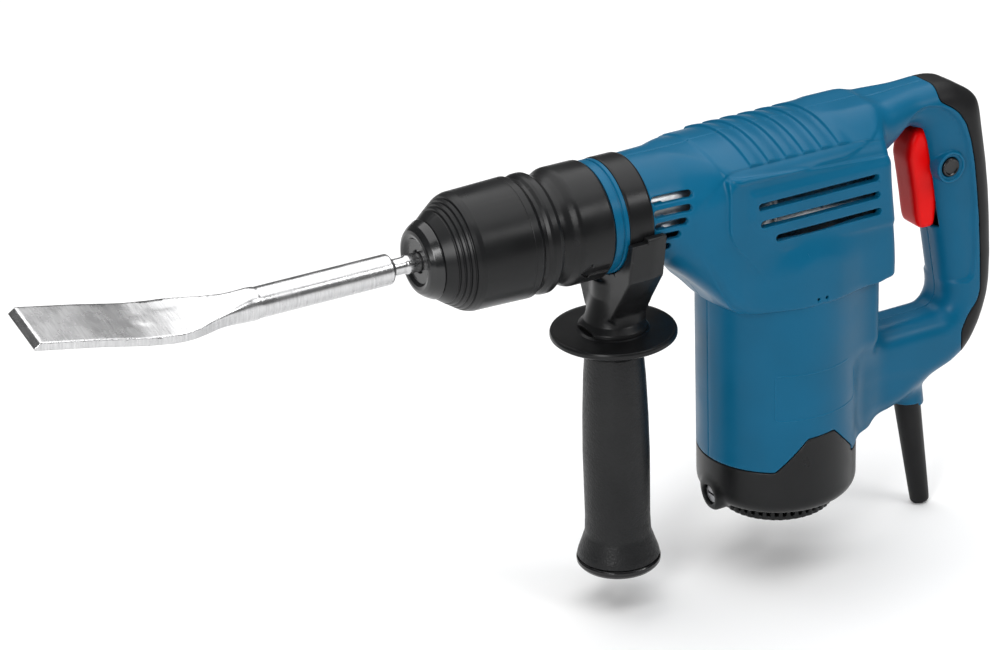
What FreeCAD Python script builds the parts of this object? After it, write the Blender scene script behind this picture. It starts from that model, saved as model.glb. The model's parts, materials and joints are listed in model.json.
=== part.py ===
"""Hand-held electric chipping hammer with a D-handle, an auxiliary handle and a spatula chisel.

Millimetres. The origin is the centre of the round base under the motor. +Z is up along the motor
axis, +X points to the rear handle and -Y is the left side of a person holding the hammer.
Places along the spindle are stations: distances behind the front edge of the locking sleeve.
"""
import FreeCAD
import Part
import math
import os

V = FreeCAD.Vector
X_AXIS = V(1, 0, 0)
Y_AXIS = V(0, 1, 0)
Z_AXIS = V(0, 0, 1)

# Driving dimensions of the whole machine
MOTOR_STATION = 209.0       # station of the motor axis
SPINDLE_Z = 193.2           # height of the spindle axis over the base
BARREL_R = 43.8             # motor barrel, outside
SEAM_Z = 132.3              # lower edge of the upper housing around the barrel
CAP_Z = 35.5                # upper edge of the black end cap
BODY_HALF = 38.5            # upper housing, half width
HANDLE_HALF = 18.0          # D-handle, half width
WALL = 2.6                  # housing wall
STRIP = 3.0                 # thickness of the rubber strip on the handle's back
HANDLE_WALL = STRIP + 2.6   # handle wall with the strip's seat
GAP = 0.1                   # working gap between neighbours in one body
FIT = 0.05                  # radial running clearance of shafts, pistons and pins

# Nose: tool holder, sleeves and chisel
SHANK_R = 5.0               # slotted 10 mm tool shank
SHANK_END = 52.0            # station of the pushed-in shank end
SHAFT_R = 8.0
HOLDER_FRONT_R = 10.3
HOLDER_REAR_R = 12.95
HOLDER_STEP = 43.0
HOLDER_END = 78.2
BALL_R = 3.5
BALL_STATION = 25.0
BALL_OFFSET = 6.75          # ball centre from the spindle axis
CHISEL_TRAVEL = 10.0
TOOL_ROLL = 11.5            # degrees that the holder and chisel are turned about the spindle

# Hammer mechanism
TUBE_R = 15.0
TUBE_BORE_R = 13.0
TUBE_FRONT = 58.0
TUBE_REAR = 147.0
PISTON_STROKE = 12.0
CRANK_R = PISTON_STROKE / 2
CRANK_X = -32.5             # crank axis, in front of the motor axis
CONROD_LENGTH = 34.0
PISTON_R = TUBE_BORE_R - FIT
STRIKER_R = 10.0
BOLT_R = 8.1
CONROD_HALF = 4.0           # half thickness of the connecting rod

# Gears
MODULE = 1.25
PINION_TEETH = 9
GEAR_TEETH = 43
GEAR_BOTTOM = 165.0
GEAR_TOP = 175.0

# Gear case
CASE_FLOOR = 146.0
CASE_RIM = 208.0
CASE_HALF = 31.4
COVER_THICK = 4.0

# Collar, clamp band and auxiliary handle
COLLAR_FRONT = 92.9
BAND_FRONT = 100.8
BAND_REAR = 115.2
NECK_SEAT_R = 27.4
BAND_R = 30.6
AUX_X = 107.2 - MOTOR_STATION
FLANGE_Z = 128.2            # upper face of the hand guard flange
FLANGE_R = 33.7
GRIP_BOTTOM = -11.8

# Trigger and switch lock
TRIGGER_HALF = 9.0
LOCK_X = 101.6
LOCK_Z = 177.8
LOCK_R = 5.0

# Cord sleeve
SLEEVE_TOP = V(87.2, 0, 38.0)
SLEEVE_MOUTH = V(97.9, 0, -31.0)
SLEEVE_TOP_R = 7.6
SLEEVE_MOUTH_R = 5.5
CORD_R = 3.7

PARTS = {}


def along(station):
    """x of a station along the spindle."""
    return station - MOTOR_STATION


def block(x0, x1, y0, y1, z0, z1):
    return Part.makeBox(x1 - x0, y1 - y0, z1 - z0, V(x0, y0, z0))


def rod(start, end, radius):
    """Cylinder between two points."""
    return Part.makeCylinder(radius, (end - start).Length, start, end - start)


def prism_y(points, y0, y1):
    """Prism along Y over an outline of (x, z) points."""
    corners = [V(x, y0, z) for x, z in points]
    return Part.Face(Part.makePolygon(corners + corners[:1])).extrude(V(0, y1 - y0, 0))


def turned_x(profile, centre_z=SPINDLE_Z):
    """Solid turned about the spindle from (station, radius) points."""
    corners = [V(along(s), 0, centre_z + r) for s, r in profile]
    face = Part.Face(Part.makePolygon(corners + corners[:1]))
    return face.revolve(V(0, 0, centre_z), X_AXIS, 360)


def turned_z(profile, x=0.0):
    """Solid turned about a vertical axis from (radius, z) points."""
    corners = [V(x + r, 0, z) for r, z in profile]
    face = Part.Face(Part.makePolygon(corners + corners[:1]))
    return face.revolve(V(x, 0, 0), Z_AXIS, 360)


def ring_x(s0, s1, r_out, r_in):
    return turned_x([(s0, r_in), (s0, r_out), (s1, r_out), (s1, r_in)])


def ring_z(z0, z1, r_out, r_in, x=0.0):
    return turned_z([(r_in, z0), (r_out, z0), (r_out, z1), (r_in, z1)], x)


def joined(shapes):
    """One shape from many that touch or overlap."""
    first, rest = shapes[0], shapes[1:]
    return first.fuse(rest).removeSplitter() if rest else first


def roll_tool(shape):
    """Turn a shape with the tool holder about the spindle."""
    turned = shape.copy()
    turned.rotate(V(0, 0, SPINDLE_Z), X_AXIS, TOOL_ROLL)
    return turned


def keep(name, shape):
    """Name a finished shape as one part of the machine."""
    PARTS[name] = shape


# ---------------------------------------------------------------- housing

# Upper housing sections: station, half width, low z, high z, corner radius
BODY_SECTIONS = [
    (BAND_REAR + 0.2, 29.0, 164.0, 222.2, 28.6),
    (130.0, 29.4, 162.6, 222.4, 27.0),
    (147.0, 33.8, 149.0, 222.4, 22.0),
    (164.0, 37.8, 134.5, 223.0, 16.0),
    (178.0, BODY_HALF, SEAM_Z, 223.4, 14.0),
    (202.0, BODY_HALF, SEAM_Z, 224.2, 14.0),
    (256.0, BODY_HALF, 135.5, 222.0, 14.0),
    (261.5, 36.0, 136.4, 221.4, 14.0),
]
HANDLE_OUTLINE = [
    (28.0, 221.6), (50.0, 222.4), (76.0, 224.0), (96.0, 225.0), (102.0, 224.6), (107.5, 223.2),
    (119.6, 216.2), (123.6, 212.2), (125.4, 206.0), (127.2, 194.7), (130.3, 176.4), (132.6, 158.2),
    (134.0, 140.0), (135.1, 118.0), (134.9, 103.7), (133.8, 94.8), (131.4, 86.0), (128.0, 77.4),
    (123.3, 68.6), (117.6, 61.6), (108.6, 56.2), (97.0, 51.5), (96.6, 33.0), (78.0, 33.0),
    (77.4, 39.4), (64.5, 36.4), (52.0, CAP_Z), (28.0, CAP_Z),
]
HANDLE_OPENING = [
    (52.5, 176.0), (56.5, 187.0), (65.5, 195.5), (71.0, 200.0), (77.0, 202.8), (82.0, 202.8),
    (86.5, 199.8), (89.2, 192.0), (92.0, 177.4), (94.2, 164.4), (96.5, 149.6), (99.6, 135.0),
    (102.9, 115.0), (105.4, 100.0), (105.2, 96.0), (103.4, 91.8), (99.8, 89.4), (49.5, 89.0),
    (49.5, 132.0), (52.5, 136.4),
]
STRIP_REGION = [
    (96.0, 232.0), (95.0, 221.0), (94.0, 216.5), (101.5, 211.5), (106.0, 208.5), (111.0, 200.0),
    (114.2, 190.0), (117.0, 176.0), (119.2, 158.0), (121.0, 140.0), (122.6, 118.0), (123.0, 100.0),
    (121.0, 94.0), (114.5, 86.0), (110.8, 78.0), (111.0, 70.0), (113.5, 62.0), (116.0, 50.0),
    (150.0, 50.0), (150.0, 232.0),
]
CAP_TAB = [(-24.4, CAP_Z), (-7.6, 54.3), (9.2, 55.4), (25.2, 38.7), (25.2, CAP_Z)]
NECK_SLOT_Z = [206.0, 199.5, 193.0, 186.5, 180.0]
SIDE_SLOTS = [(-36.6, 38.6, 194.2), (-35.2, 39.4, 184.2), (-26.0, 40.2, 174.6)]
SLOT_HEIGHT = 4.0


def section_wire(station, half, low, high, radius, inset):
    """Rounded rectangle across the spindle, drawn in by the inset."""
    x, half, low, high = along(station), half - inset, low + inset, high - inset
    radius = radius - inset
    side, cut = half - radius, radius * (1 - math.sqrt(0.5))
    edges = []
    corners = [(1, 1), (-1, 1), (-1, -1), (1, -1)]
    for index, (sy, sz) in enumerate(corners):
        cz = high if sz > 0 else low
        side_end = V(x, sy * half, cz - sz * radius)
        middle = V(x, sy * (half - cut), cz - sz * cut)
        level_end = V(x, sy * side, cz)
        points = [side_end, middle, level_end] if index % 2 == 0 else [level_end, middle, side_end]
        edges.append(Part.Arc(*points).toShape())
        next_y, next_z = corners[(index + 1) % 4]
        next_cz = high if next_z > 0 else low
        if index % 2 == 0:
            next_start = V(x, next_y * side, next_cz)
        else:
            next_start = V(x, next_y * half, next_cz - next_z * radius)
        edges.append(Part.makeLine(points[2], next_start))
    return Part.Wire(edges)


def body_form(inset):
    """Upper housing from the clamp band to the rear, as a solid."""
    wires = [section_wire(*section, inset) for section in BODY_SECTIONS]
    wires[-1].translate(V(-inset, 0, 0))
    return Part.makeLoft(wires, True, True)


def apron_form(inset):
    """Round skirt of the upper housing over the top of the barrel."""
    r = BARREL_R + 0.6 - inset
    return turned_z([(0, SEAM_Z), (r, SEAM_Z), (r, 154.0), (36.5 - inset, 170.0), (0, 170.0)])


def barrel_form(inset):
    """Motor barrel and end cap outline."""
    r = BARREL_R - inset
    low = 8.0 if inset == 0 else 8.0 + 2.2
    return turned_z([(0, low), (33.5 - inset, low), (40.2 - inset, 11.5), (43.0 - inset, 16.5),
                     (r, 21.0), (r, SEAM_Z + 1), (0, SEAM_Z + 1)])


def handle_form(inset):
    """D-handle with its finger opening, drawn in by the inset."""
    half = HANDLE_HALF - inset
    outer = Part.Wire(Part.makePolygon([V(x, 0, z) for x, z in HANDLE_OUTLINE + HANDLE_OUTLINE[:1]]))
    inner = Part.Wire(Part.makePolygon([V(x, 0, z) for x, z in HANDLE_OPENING + HANDLE_OPENING[:1]]))
    outer_face = Part.Face(outer)
    inner_face = Part.Face(inner)
    if inset:
        outer_face = Part.Face(outer_face.makeOffset2D(-inset).Wires[0])
        inner_face = Part.Face(inner_face.makeOffset2D(inset).Wires[0])
    flat = outer_face.cut(inner_face)
    slab = flat.extrude(V(0, 2 * half, 0))
    slab.translate(V(0, -half, 0))
    return slab


def web_form(inset):
    """Flat-sided web between the barrel and the finger opening."""
    half = 30.0 - inset
    return block(0, 49.5 - inset, -half, half, 44.0 + inset, SEAM_Z + 1)


def housing_forms():
    """Outer form, cavity and rubber strip of the split housing."""
    neck = ring_x(BAND_FRONT + 0.2, BAND_REAR + 0.2, NECK_SEAT_R, 0.0)
    handle = handle_form(0)
    outer = joined([body_form(0), apron_form(0), barrel_form(0), web_form(0), neck, handle])
    strip_space = prism_y(STRIP_REGION, -HANDLE_HALF - 1, HANDLE_HALF + 1)
    strip = handle.cut(handle_form(STRIP)).common(strip_space)
    neck_bore = ring_x(BAND_FRONT - 1, BAND_REAR + 2, 24.9, 0.0)
    cavity = joined([body_form(WALL), apron_form(WALL), barrel_form(WALL), web_form(WALL), neck_bore])
    return outer, cavity, handle_form(HANDLE_WALL), strip


def cap_region():
    """Everything that the end cap takes from the barrel."""
    below = block(-60, 60, -60, 60, -10, CAP_Z)
    tab = prism_y(CAP_TAB, -60, 60)
    return joined([below, tab])


def vent_cuts():
    """Cooling slots through both sides of the housing."""
    cuts = []
    half = SLOT_HEIGHT / 2
    for z in NECK_SLOT_Z:
        rear = 163.0 - abs(z - NECK_SLOT_Z[1]) * 0.5
        cuts.append(block(along(BAND_REAR - 8), along(rear), -60, 60, z - half, z + half))
    for x0, x1, z in SIDE_SLOTS:
        cuts.append(block(x0, x1, -60, 60, z - half, z + half))
    return cuts


SCREW_PLACES = [(59.0, 214.0), (104.0, 204.0), (105.0, 77.0), (66.0, 68.0)]
SCREW_HEAD_R = 3.6
SCREW_R = 2.0


def housing_shells():
    """Left and right housing shells, their rubber strip and their screws."""
    outer, cavity, handle_cavity, strip = housing_forms()
    cap = cap_region()
    bosses = []
    bores = []
    screws = []
    for x, z in SCREW_PLACES:
        bosses.append(rod(V(x, -HANDLE_HALF + 1, z), V(x, HANDLE_HALF - 1, z), 5.2))
        bores.append(rod(V(x, -13, z), V(x, 13, z), SCREW_R + GAP))
        bores.append(rod(V(x, 12, z), V(x, HANDLE_HALF + 1, z), SCREW_HEAD_R + GAP))
        shank = rod(V(x, -12, z), V(x, 13, z), SCREW_R)
        head = rod(V(x, 12 + GAP, z), V(x, 15, z), SCREW_HEAD_R)
        slot = block(x - 2.2, x + 2.2, 14.0, 16.0, z - 0.5, z + 0.5)
        screws.append(shank.fuse(head).cut(slot).removeSplitter())
    ribs = [ring_z(z, z + 4, BARREL_R - WALL + 0.5, 38.0 + GAP) for z in (66.0, 96.0)]
    shell = outer.cut(cavity).cut(handle_cavity).fuse(bosses + ribs)
    cuts = [strip, cap, ring_z(5, 64, BARREL_R - WALL, 0.0)] + bores + vent_cuts()
    case_room = CASE_HALF + 0.2
    cuts.append(block(-44, 52, -case_room, case_room, CASE_FLOOR - GAP, CASE_RIM + COVER_THICK + 0.2 + GAP))
    cuts.append(rod(V(LOCK_X, -HANDLE_HALF - 1, LOCK_Z), V(LOCK_X, 0, LOCK_Z), LOCK_R + 0.3))
    cuts.append(prism_y(TRIGGER_WINDOW, -TRIGGER_HALF - 0.4, TRIGGER_HALF + 0.4))
    cuts.append(rod(SLEEVE_TOP - (SLEEVE_MOUTH - SLEEVE_TOP) * 0.115, SLEEVE_MOUTH, SLEEVE_TOP_R + 0.2))
    pin_reach = V(0, TRIGGER_PIN_HALF + GAP, 0)
    cuts.append(rod(TRIGGER_PIVOT - pin_reach, TRIGGER_PIVOT + pin_reach, TRIGGER_PIN_R + FIT))
    shell = shell.cut(cuts)
    left = shell.common(block(-200, 200, -100, 0, -60, 300))
    right = shell.common(block(-200, 200, 0, 100, -60, 300))
    keep("housing_left_shell", biggest(left))
    keep("housing_right_shell", biggest(right))
    strip_cuts = [rod(V(x, 0, z), V(x, 30, z), SCREW_HEAD_R + GAP) for x, z in SCREW_PLACES]
    keep("rear_grip_strip", biggest(strip.cut(strip_cuts)))
    keep("housing_screws", Part.makeCompound(screws))


def biggest(shape):
    """The one solid that matters, without loose chips."""
    return max(shape.Solids, key=lambda solid: solid.Volume)


# ---------------------------------------------------------------- end cap and base

def end_cap_parts():
    """Black end cap with its screw lug, and the ribbed air grille under it."""
    wall = barrel_form(0).cut(barrel_form(WALL))
    cap = wall.common(cap_region())
    cap = cap.cut(ring_z(0, 30, 31.2, 0.0))
    lug_z = 12.5
    lug_start = V(-44.0, 0, lug_z)
    lug = rod(lug_start, V(-33.0, 0, lug_z), 9.6)
    hole = rod(lug_start - V(1, 0, 0), V(-39.6, 0, lug_z), 5.6)
    inside = ring_z(5, 40, BARREL_R - WALL - 4, 0.0)
    cap = cap.fuse(lug.cut(inside)).cut(hole)
    keep("motor_end_cap", biggest(cap))
    screw_head = rod(V(-42.1, 0, lug_z), V(-39.6 - GAP, 0, lug_z), 5.0)
    drive = block(-43, -41.3, -3.5, 3.5, lug_z - 0.7, lug_z + 0.7)
    keep("end_cap_screw", screw_head.cut(drive))
    base_grille()


def base_grille():
    """Ribbed intake ring with the seat of the lower motor bearing."""
    plate = ring_z(0, 3, 31.0, 0.0)
    wall = ring_z(0, 20, 31.0, 28.5)
    seat = ring_z(2.9, 20, 15.0, 11.0 + FIT).fuse(ring_z(2.9, 12.0, 15.0, 6.0))
    grille = joined([plate, wall, seat])
    slot = block(27.5, 32.0, -1.4, 1.4, 3.0, 7.6)
    count = 28
    slots = []
    for index in range(count):
        cut = slot.copy()
        cut.rotate(V(0, 0, 0), Z_AXIS, 360.0 * index / count)
        slots.append(cut)
    keep("base_air_grille", biggest(grille.cut(slots)))


# ---------------------------------------------------------------- motor

def motor_parts():
    """Stator, brushes, bearings and the rotor with its fan."""
    keep("stator_core", ring_z(60, 105, 38.0, 21.0))
    coils = [ring_z(105.2, 115, 35.0, 24.0), ring_z(50, 59.8, 35.0, 24.0)]
    keep("field_windings", Part.makeCompound(coils))
    keep("armature_core", ring_z(60, 105, 20.3, 6.0 + GAP))
    ends = [ring_z(105.1, 113, 18.0, 7.0), ring_z(50.5, 59.9, 18.0, 7.0)]
    keep("armature_windings", Part.makeCompound(ends))
    keep("commutator", ring_z(33, 48, 13.0, 6.0 + GAP))
    keep("lower_motor_bearing", ring_z(12.1, 19, 11.0, 4.0 + FIT))
    keep("upper_motor_bearing", ring_z(139.1, 148, 16.0, 6.0 + FIT))
    holders = []
    brushes = []
    for side in (1, -1):
        y0, y1 = sorted((side * 14.2, side * 34.0))
        tube = block(-5.5, 5.5, y0, y1, 35.2, 46.0)
        holders.append(tube.cut(block(-4.1, 4.1, -40, 40, 36.4, 44.6)))
        y0, y1 = sorted((side * (13.0 + GAP), side * 27.0))
        brushes.append(block(-4.0, 4.0, y0, y1, 36.5, 44.5))
    keep("brush_holders", Part.makeCompound(holders))
    keep("carbon_brushes", Part.makeCompound(brushes))
    keep("brush_plate", ring_z(32, 35, 39.0, 16.0))
    keep("cooling_fan", fan())
    lower = ring_z(8.0, 30.0, 4.0, 0.0)
    upper = ring_z(29.9, GEAR_BOTTOM - 2, 6.0, 0.0)
    pinion = toothed_wheel(PINION_TEETH, GEAR_BOTTOM - 2.1, GEAR_TOP + 1, 1.0, 0.0)
    keep("rotor_shaft", joined([lower, upper, pinion]))


def fan():
    """Radial fan: hub, disc and straight blades."""
    hub = ring_z(118, 130, 10.0, 6.0 + GAP)
    disc = ring_z(118, 119.8, 35.0, 9.9)
    blade = block(9.5, 34.5, -0.8, 0.8, 119.7, 130)
    count = 12
    blades = []
    for index in range(count):
        copy = blade.copy()
        copy.rotate(V(0, 0, 0), Z_AXIS, 360.0 * index / count)
        blades.append(copy)
    return joined([hub, disc] + blades)


# ---------------------------------------------------------------- gears and crank

PRESSURE_ANGLE = math.radians(20)
BACKLASH = 0.16


def involute_angle(radius, base):
    """Polar angle of an involute at a radius."""
    tangent = math.sqrt(max((radius / base) ** 2 - 1, 0))
    return tangent - math.atan(tangent)


def toothed_wheel(teeth, z0, z1, addendum, bore):
    """Spur wheel with involute flanks and its first tooth on +X."""
    pitch = MODULE * teeth / 2
    base = pitch * math.cos(PRESSURE_ANGLE)
    tip = pitch + addendum * MODULE
    root = pitch - 1.25 * MODULE
    half_pitch_angle = (math.pi * MODULE / 2 - BACKLASH) / 2 / pitch
    offset = half_pitch_angle + involute_angle(pitch, base)
    steps = 5
    start = max(base, root)
    flank = []
    for step in range(steps + 1):
        radius = start + (tip - start) * step / steps
        flank.append((radius, max(offset - involute_angle(radius, base), 0.02)))
    if root < base:
        flank.insert(0, (root, offset))
    points = []
    for tooth in range(teeth):
        centre = 2 * math.pi * tooth / teeth
        for radius, angle in flank:
            points.append(V(radius * math.cos(centre - angle), radius * math.sin(centre - angle), z0))
        for radius, angle in reversed(flank):
            points.append(V(radius * math.cos(centre + angle), radius * math.sin(centre + angle), z0))
    wheel = Part.Face(Part.makePolygon(points + points[:1])).extrude(V(0, 0, z1 - z0))
    if bore:
        wheel = wheel.cut(ring_z(z0 - 1, z1 + 1, bore, 0.0))
    return wheel


def crank_parts():
    """Crank gear, crankshaft and connecting rod."""
    gear = toothed_wheel(GEAR_TEETH, GEAR_BOTTOM, GEAR_TOP, 0.75, 5.0 + FIT)
    gear.translate(V(CRANK_X, 0, 0))
    keep("crank_gear", gear)
    pin_x = CRANK_X - CRANK_R
    lower = ring_z(153, 163.9, 4.0, 0.0, CRANK_X)
    upper = ring_z(163.8, GEAR_TOP + 0.3, 5.0, 0.0, CRANK_X)
    disc = ring_z(GEAR_TOP + 0.2, 186.0, 14.0, 0.0, CRANK_X)
    pin = ring_z(185.9, 200.0, 4.0, 0.0, pin_x)
    keep("crankshaft", joined([lower, upper, disc, pin]))
    keep("crank_bearing", ring_z(154.2, 161.2, 11.0, 4.0 + FIT, CRANK_X))
    low, high = SPINDLE_Z - CONROD_HALF, SPINDLE_Z + CONROD_HALF
    wrist_x = pin_x - CONROD_LENGTH
    big_end = ring_z(low, high, 8.5, 0.0, pin_x)
    small_end = ring_z(low, high, 6.0, 0.0, wrist_x)
    bar = block(wrist_x, pin_x, -3.5, 3.5, low, high)
    arm = joined([big_end, small_end, bar])
    arm = arm.cut([ring_z(low - 1, high + 1, 4.0 + FIT, 0.0, pin_x),
                   ring_z(low - 1, high + 1, 3.0 + FIT, 0.0, wrist_x)])
    keep("connecting_rod", arm)


def hammer_parts():
    """Guide tube, piston, striker and impact bolt on the spindle axis."""
    keep("hammer_tube", ring_x(TUBE_FRONT, TUBE_REAR, TUBE_R, TUBE_BORE_R))
    wrist = MOTOR_STATION + CRANK_X - CRANK_R - CONROD_LENGTH
    cup = turned_x([(84.0, PISTON_R), (118.0, PISTON_R), (118.0, 0), (114.0, 0),
                    (114.0, STRIKER_R + FIT), (84.0, STRIKER_R + FIT)])
    groove = ring_x(88.0, 90.5, PISTON_R + 1, PISTON_R - 1.6)
    ears = ring_x(117.9, wrist + 7.0, PISTON_R, 0.0)
    gap = block(along(118.0), along(wrist + 8), -20, 20, SPINDLE_Z - 4.6, SPINDLE_Z + 4.6)
    wrist_x = along(wrist)
    pin_bore = ring_z(150, 240, 3.0 + FIT, 0.0, wrist_x)
    keep("piston", cup.cut(groove).fuse(ears).cut([gap, pin_bore]).removeSplitter())
    keep("piston_seal", ring_x(88.1, 90.4, PISTON_R, PISTON_R - 1.5))
    stubs = [ring_z(SPINDLE_Z + 4.6, SPINDLE_Z + 11.5, 3.0, 0.0, wrist_x),
             ring_z(SPINDLE_Z - 11.5, SPINDLE_Z - 4.6, 3.0, 0.0, wrist_x)]
    keep("wrist_pins", Part.makeCompound(stubs))
    striker = turned_x([(86.5, 0), (86.5, 6.5), (89.5, STRIKER_R), (112.5, STRIKER_R), (112.5, 0)])
    seal_groove = ring_x(104.0, 106.5, STRIKER_R + 1, STRIKER_R - 1.6)
    keep("striker", striker.cut(seal_groove))
    keep("striker_seal", ring_x(104.1, 106.4, STRIKER_R, STRIKER_R - 1.5))
    keep("impact_bolt", turned_x([(56.5, 0), (56.5, SHANK_R - 0.3), (60.5, SHANK_R - 0.3),
                                  (61.5, BOLT_R - FIT), (78.0, BOLT_R - FIT), (78.0, 0)]))


def gear_case_parts():
    """Cast gear case with its front tube, and its cover plate."""
    floor, rim, wide, wall = CASE_FLOOR, CASE_RIM, CASE_HALF, 2.8
    box = block(-20, 41, -wide, wide, floor, rim)
    drum = ring_z(158, rim, wide, 0.0, CRANK_X)
    bearing_bosses = [ring_z(138, floor + 1, 21.0, 0.0), ring_z(152, 163, 15.0, 0.0, CRANK_X)]
    neck = ring_x(86.0, 150.0, 24.5, 0.0)
    box_room = block(-18, 41 - wall, -wide + wall, wide - wall, 150.0, rim + 1)
    drum_room = ring_z(163.0, rim + 1, wide - wall, 0.0, CRANK_X)
    case = joined([box, drum, neck] + bearing_bosses).cut([box_room, drum_room])
    bores = [ring_x(80, 160, TUBE_R + FIT, 0.0),
             ring_z(139.0, 160, 16.0 + FIT, 0.0),
             ring_z(130, 140, 9.0, 0.0),
             ring_z(154.1, 170, 11.0 + FIT, 0.0, CRANK_X),
             ring_z(152.9, 160, 6.0, 0.0, CRANK_X)]
    keep("gear_case", biggest(case.cut(bores)))
    lid = block(CRANK_X, 41, -wide, wide, rim + GAP, rim + COVER_THICK)
    nose = ring_z(rim + GAP, rim + COVER_THICK, wide, 0.0, CRANK_X)
    neck_room = ring_x(86.0, 150.5, 24.5 + GAP, 0.0)
    keep("gear_case_cover", lid.fuse(nose).cut(neck_room).removeSplitter())


# ---------------------------------------------------------------- tool holder and nose

def tool_holder_parts():
    """Rotating tool holder with its locking balls, spring and dust cap."""
    holder = turned_x([(-4.0, SHANK_R + FIT), (-4.0, HOLDER_FRONT_R), (HOLDER_STEP, HOLDER_FRONT_R),
                       (HOLDER_STEP, HOLDER_REAR_R), (HOLDER_END, HOLDER_REAR_R), (HOLDER_END, BOLT_R),
                       (55.5, BOLT_R), (55.5, SHANK_R + FIT)])
    x, z = along(BALL_STATION), SPINDLE_Z
    windows = [rod(V(x, side * 3, z), V(x, side * 12, z), BALL_R + 0.08) for side in (1, -1)]
    keys = [block(along(34), along(50), -1.2, 1.2, z + side * 4.5 - 0.7, z + side * 4.5 + 0.7)
            for side in (1, -1)]
    keep("tool_holder", roll_tool(joined([holder.cut(windows)] + keys)))
    balls = [Part.makeSphere(BALL_R, V(x, side * BALL_OFFSET, z)) for side in (1, -1)]
    keep("locking_balls", roll_tool(Part.makeCompound(balls)))
    keep("sleeve_spring", coil_spring(34.6, 42.6, 12.2, 0.8, 2.6))
    keep("dust_cap", turned_x([(-5.9, 6.0), (-5.9, 12.0), (-7.0, 13.2), (-7.4, 14.4), (-7.0, 16.2),
                               (-5.2, 18.0), (-0.2, 20.8), (-0.2, HOLDER_FRONT_R + FIT),
                               (-4.1, HOLDER_FRONT_R + FIT), (-4.1, 6.0)]))


def coil_spring(s0, s1, radius, wire_r, pitch):
    """Round-wire spring around the spindle, made with its axis on Z and laid along it."""
    helix = Part.makeHelix(pitch, s1 - s0 - 2 * wire_r, radius)
    circle = Part.Wire(Part.makeCircle(wire_r, V(radius, 0, 0), Y_AXIS))
    coil = Part.Wire(helix.Edges).makePipeShell([circle], True, True)
    coil.rotate(V(0, 0, 0), Y_AXIS, 90)
    coil.translate(V(along(s0 + wire_r), 0, SPINDLE_Z))
    return coil


def nose_parts():
    """Locking sleeve with its ring, and the ring that turns the chisel."""
    keep("locking_sleeve", turned_x([
        (0, 10.6), (0, 20.6), (14.2, 30.1), (17.5, 31.0), (48.7, 31.9), (50.3, 31.3), (51.8, 30.2),
        (54.3, 30.3), (56.5, 31.6), (60.5, 31.8), (62.3, 30.6), (62.3, 28.8), (33, 28.8),
        (16, 26.5), (7.5, 20.5), (7.5, 16.5), (30, 16.5), (30, 14.05), (6, 14.05), (6, 10.6)]))
    keep("locking_ring", ring_x(20.5, 29.5, 14.0, HOLDER_FRONT_R + 0.15))
    keep("chisel_turning_ring", turned_x([
        (60.3, 16.0), (60.3, 28.2), (68.5, 28.2), (69.8, 29.6), (72.0, 31.1), (73.5, 31.4),
        (91.0, 31.4), (92.5, 30.4), (92.5, 25.4), (80.0, 25.4), (80.0, 16.0)]))
    keep("collar_ring", turned_x([
        (COLLAR_FRONT, 24.6), (COLLAR_FRONT, 30.2), (97.4, 30.2), (97.8, 29.6), (98.4, 29.6),
        (98.8, 30.2), (BAND_FRONT, 30.2), (BAND_FRONT, 24.6)]))


# Spatula chisel: middle line of the blade as (station, height over the spindle axis)
BLADE_LINE = [(-94.0, 0.0), (-112.0, 1.0), (-128.0, 1.2), (-146.0, 2.8), (-160.0, 5.2), (-216.0, 17.6)]
BLADE_THICK = 5.0
BLADE_HALF = 16.2
BLADE_TIP = -218.0


def chisel_parts():
    """Slotted-shank spatula chisel: shank, neck, shaft and cranked blade."""
    z = SPINDLE_Z
    turned = turned_x([(SHANK_END, 0), (SHANK_END, SHANK_R - 1), (SHANK_END - 1, SHANK_R), (-13.0, SHANK_R),
                       (-14.5, 4.3), (-18.5, 4.3), (-20.0, 6.6), (-21.4, SHAFT_R), (-102.0, SHAFT_R),
                       (-112.0, 3.0), (-112.0, 0)])
    grooves = []
    for side in (1, -1):
        y = side * BALL_OFFSET
        front, rear = along(BALL_STATION), along(BALL_STATION + CHISEL_TRAVEL)
        grooves.append(rod(V(front, y, z), V(rear, y, z), BALL_R + 0.15))
        grooves.append(Part.makeSphere(BALL_R + 0.15, V(front, y, z)))
        grooves.append(Part.makeSphere(BALL_R + 0.15, V(rear, y, z)))
        slot_z = z + side * 4.9
        grooves.append(block(along(20), along(SHANK_END + 1), -1.5, 1.5, slot_z - 1.3, slot_z + 1.3))
    turned = turned.cut(grooves)
    upper = [(along(s), z + h + BLADE_THICK / 2) for s, h in BLADE_LINE]
    lower = [(along(s), z + h - BLADE_THICK / 2) for s, h in reversed(BLADE_LINE)]
    tip = [(along(BLADE_TIP), z + BLADE_LINE[-1][1] + 0.9)]
    profile = prism_y(upper + tip + lower, -BLADE_HALF, BLADE_HALF)
    plan = [(-90.0, 5.5), (-104.0, 7.4), (-114.0, 9.6), (-128.0, 14.0), (-137.0, BLADE_HALF),
            (-225.0, BLADE_HALF)]
    sides = [V(along(s), y, 0) for s, y in plan] + [V(along(s), -y, 0) for s, y in reversed(plan)]
    outline = Part.Face(Part.makePolygon(sides + sides[:1])).extrude(V(0, 0, 400))
    blade = profile.common(outline)
    keep("chisel", biggest(roll_tool(turned.fuse(blade).removeSplitter())))


# ---------------------------------------------------------------- auxiliary handle

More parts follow.
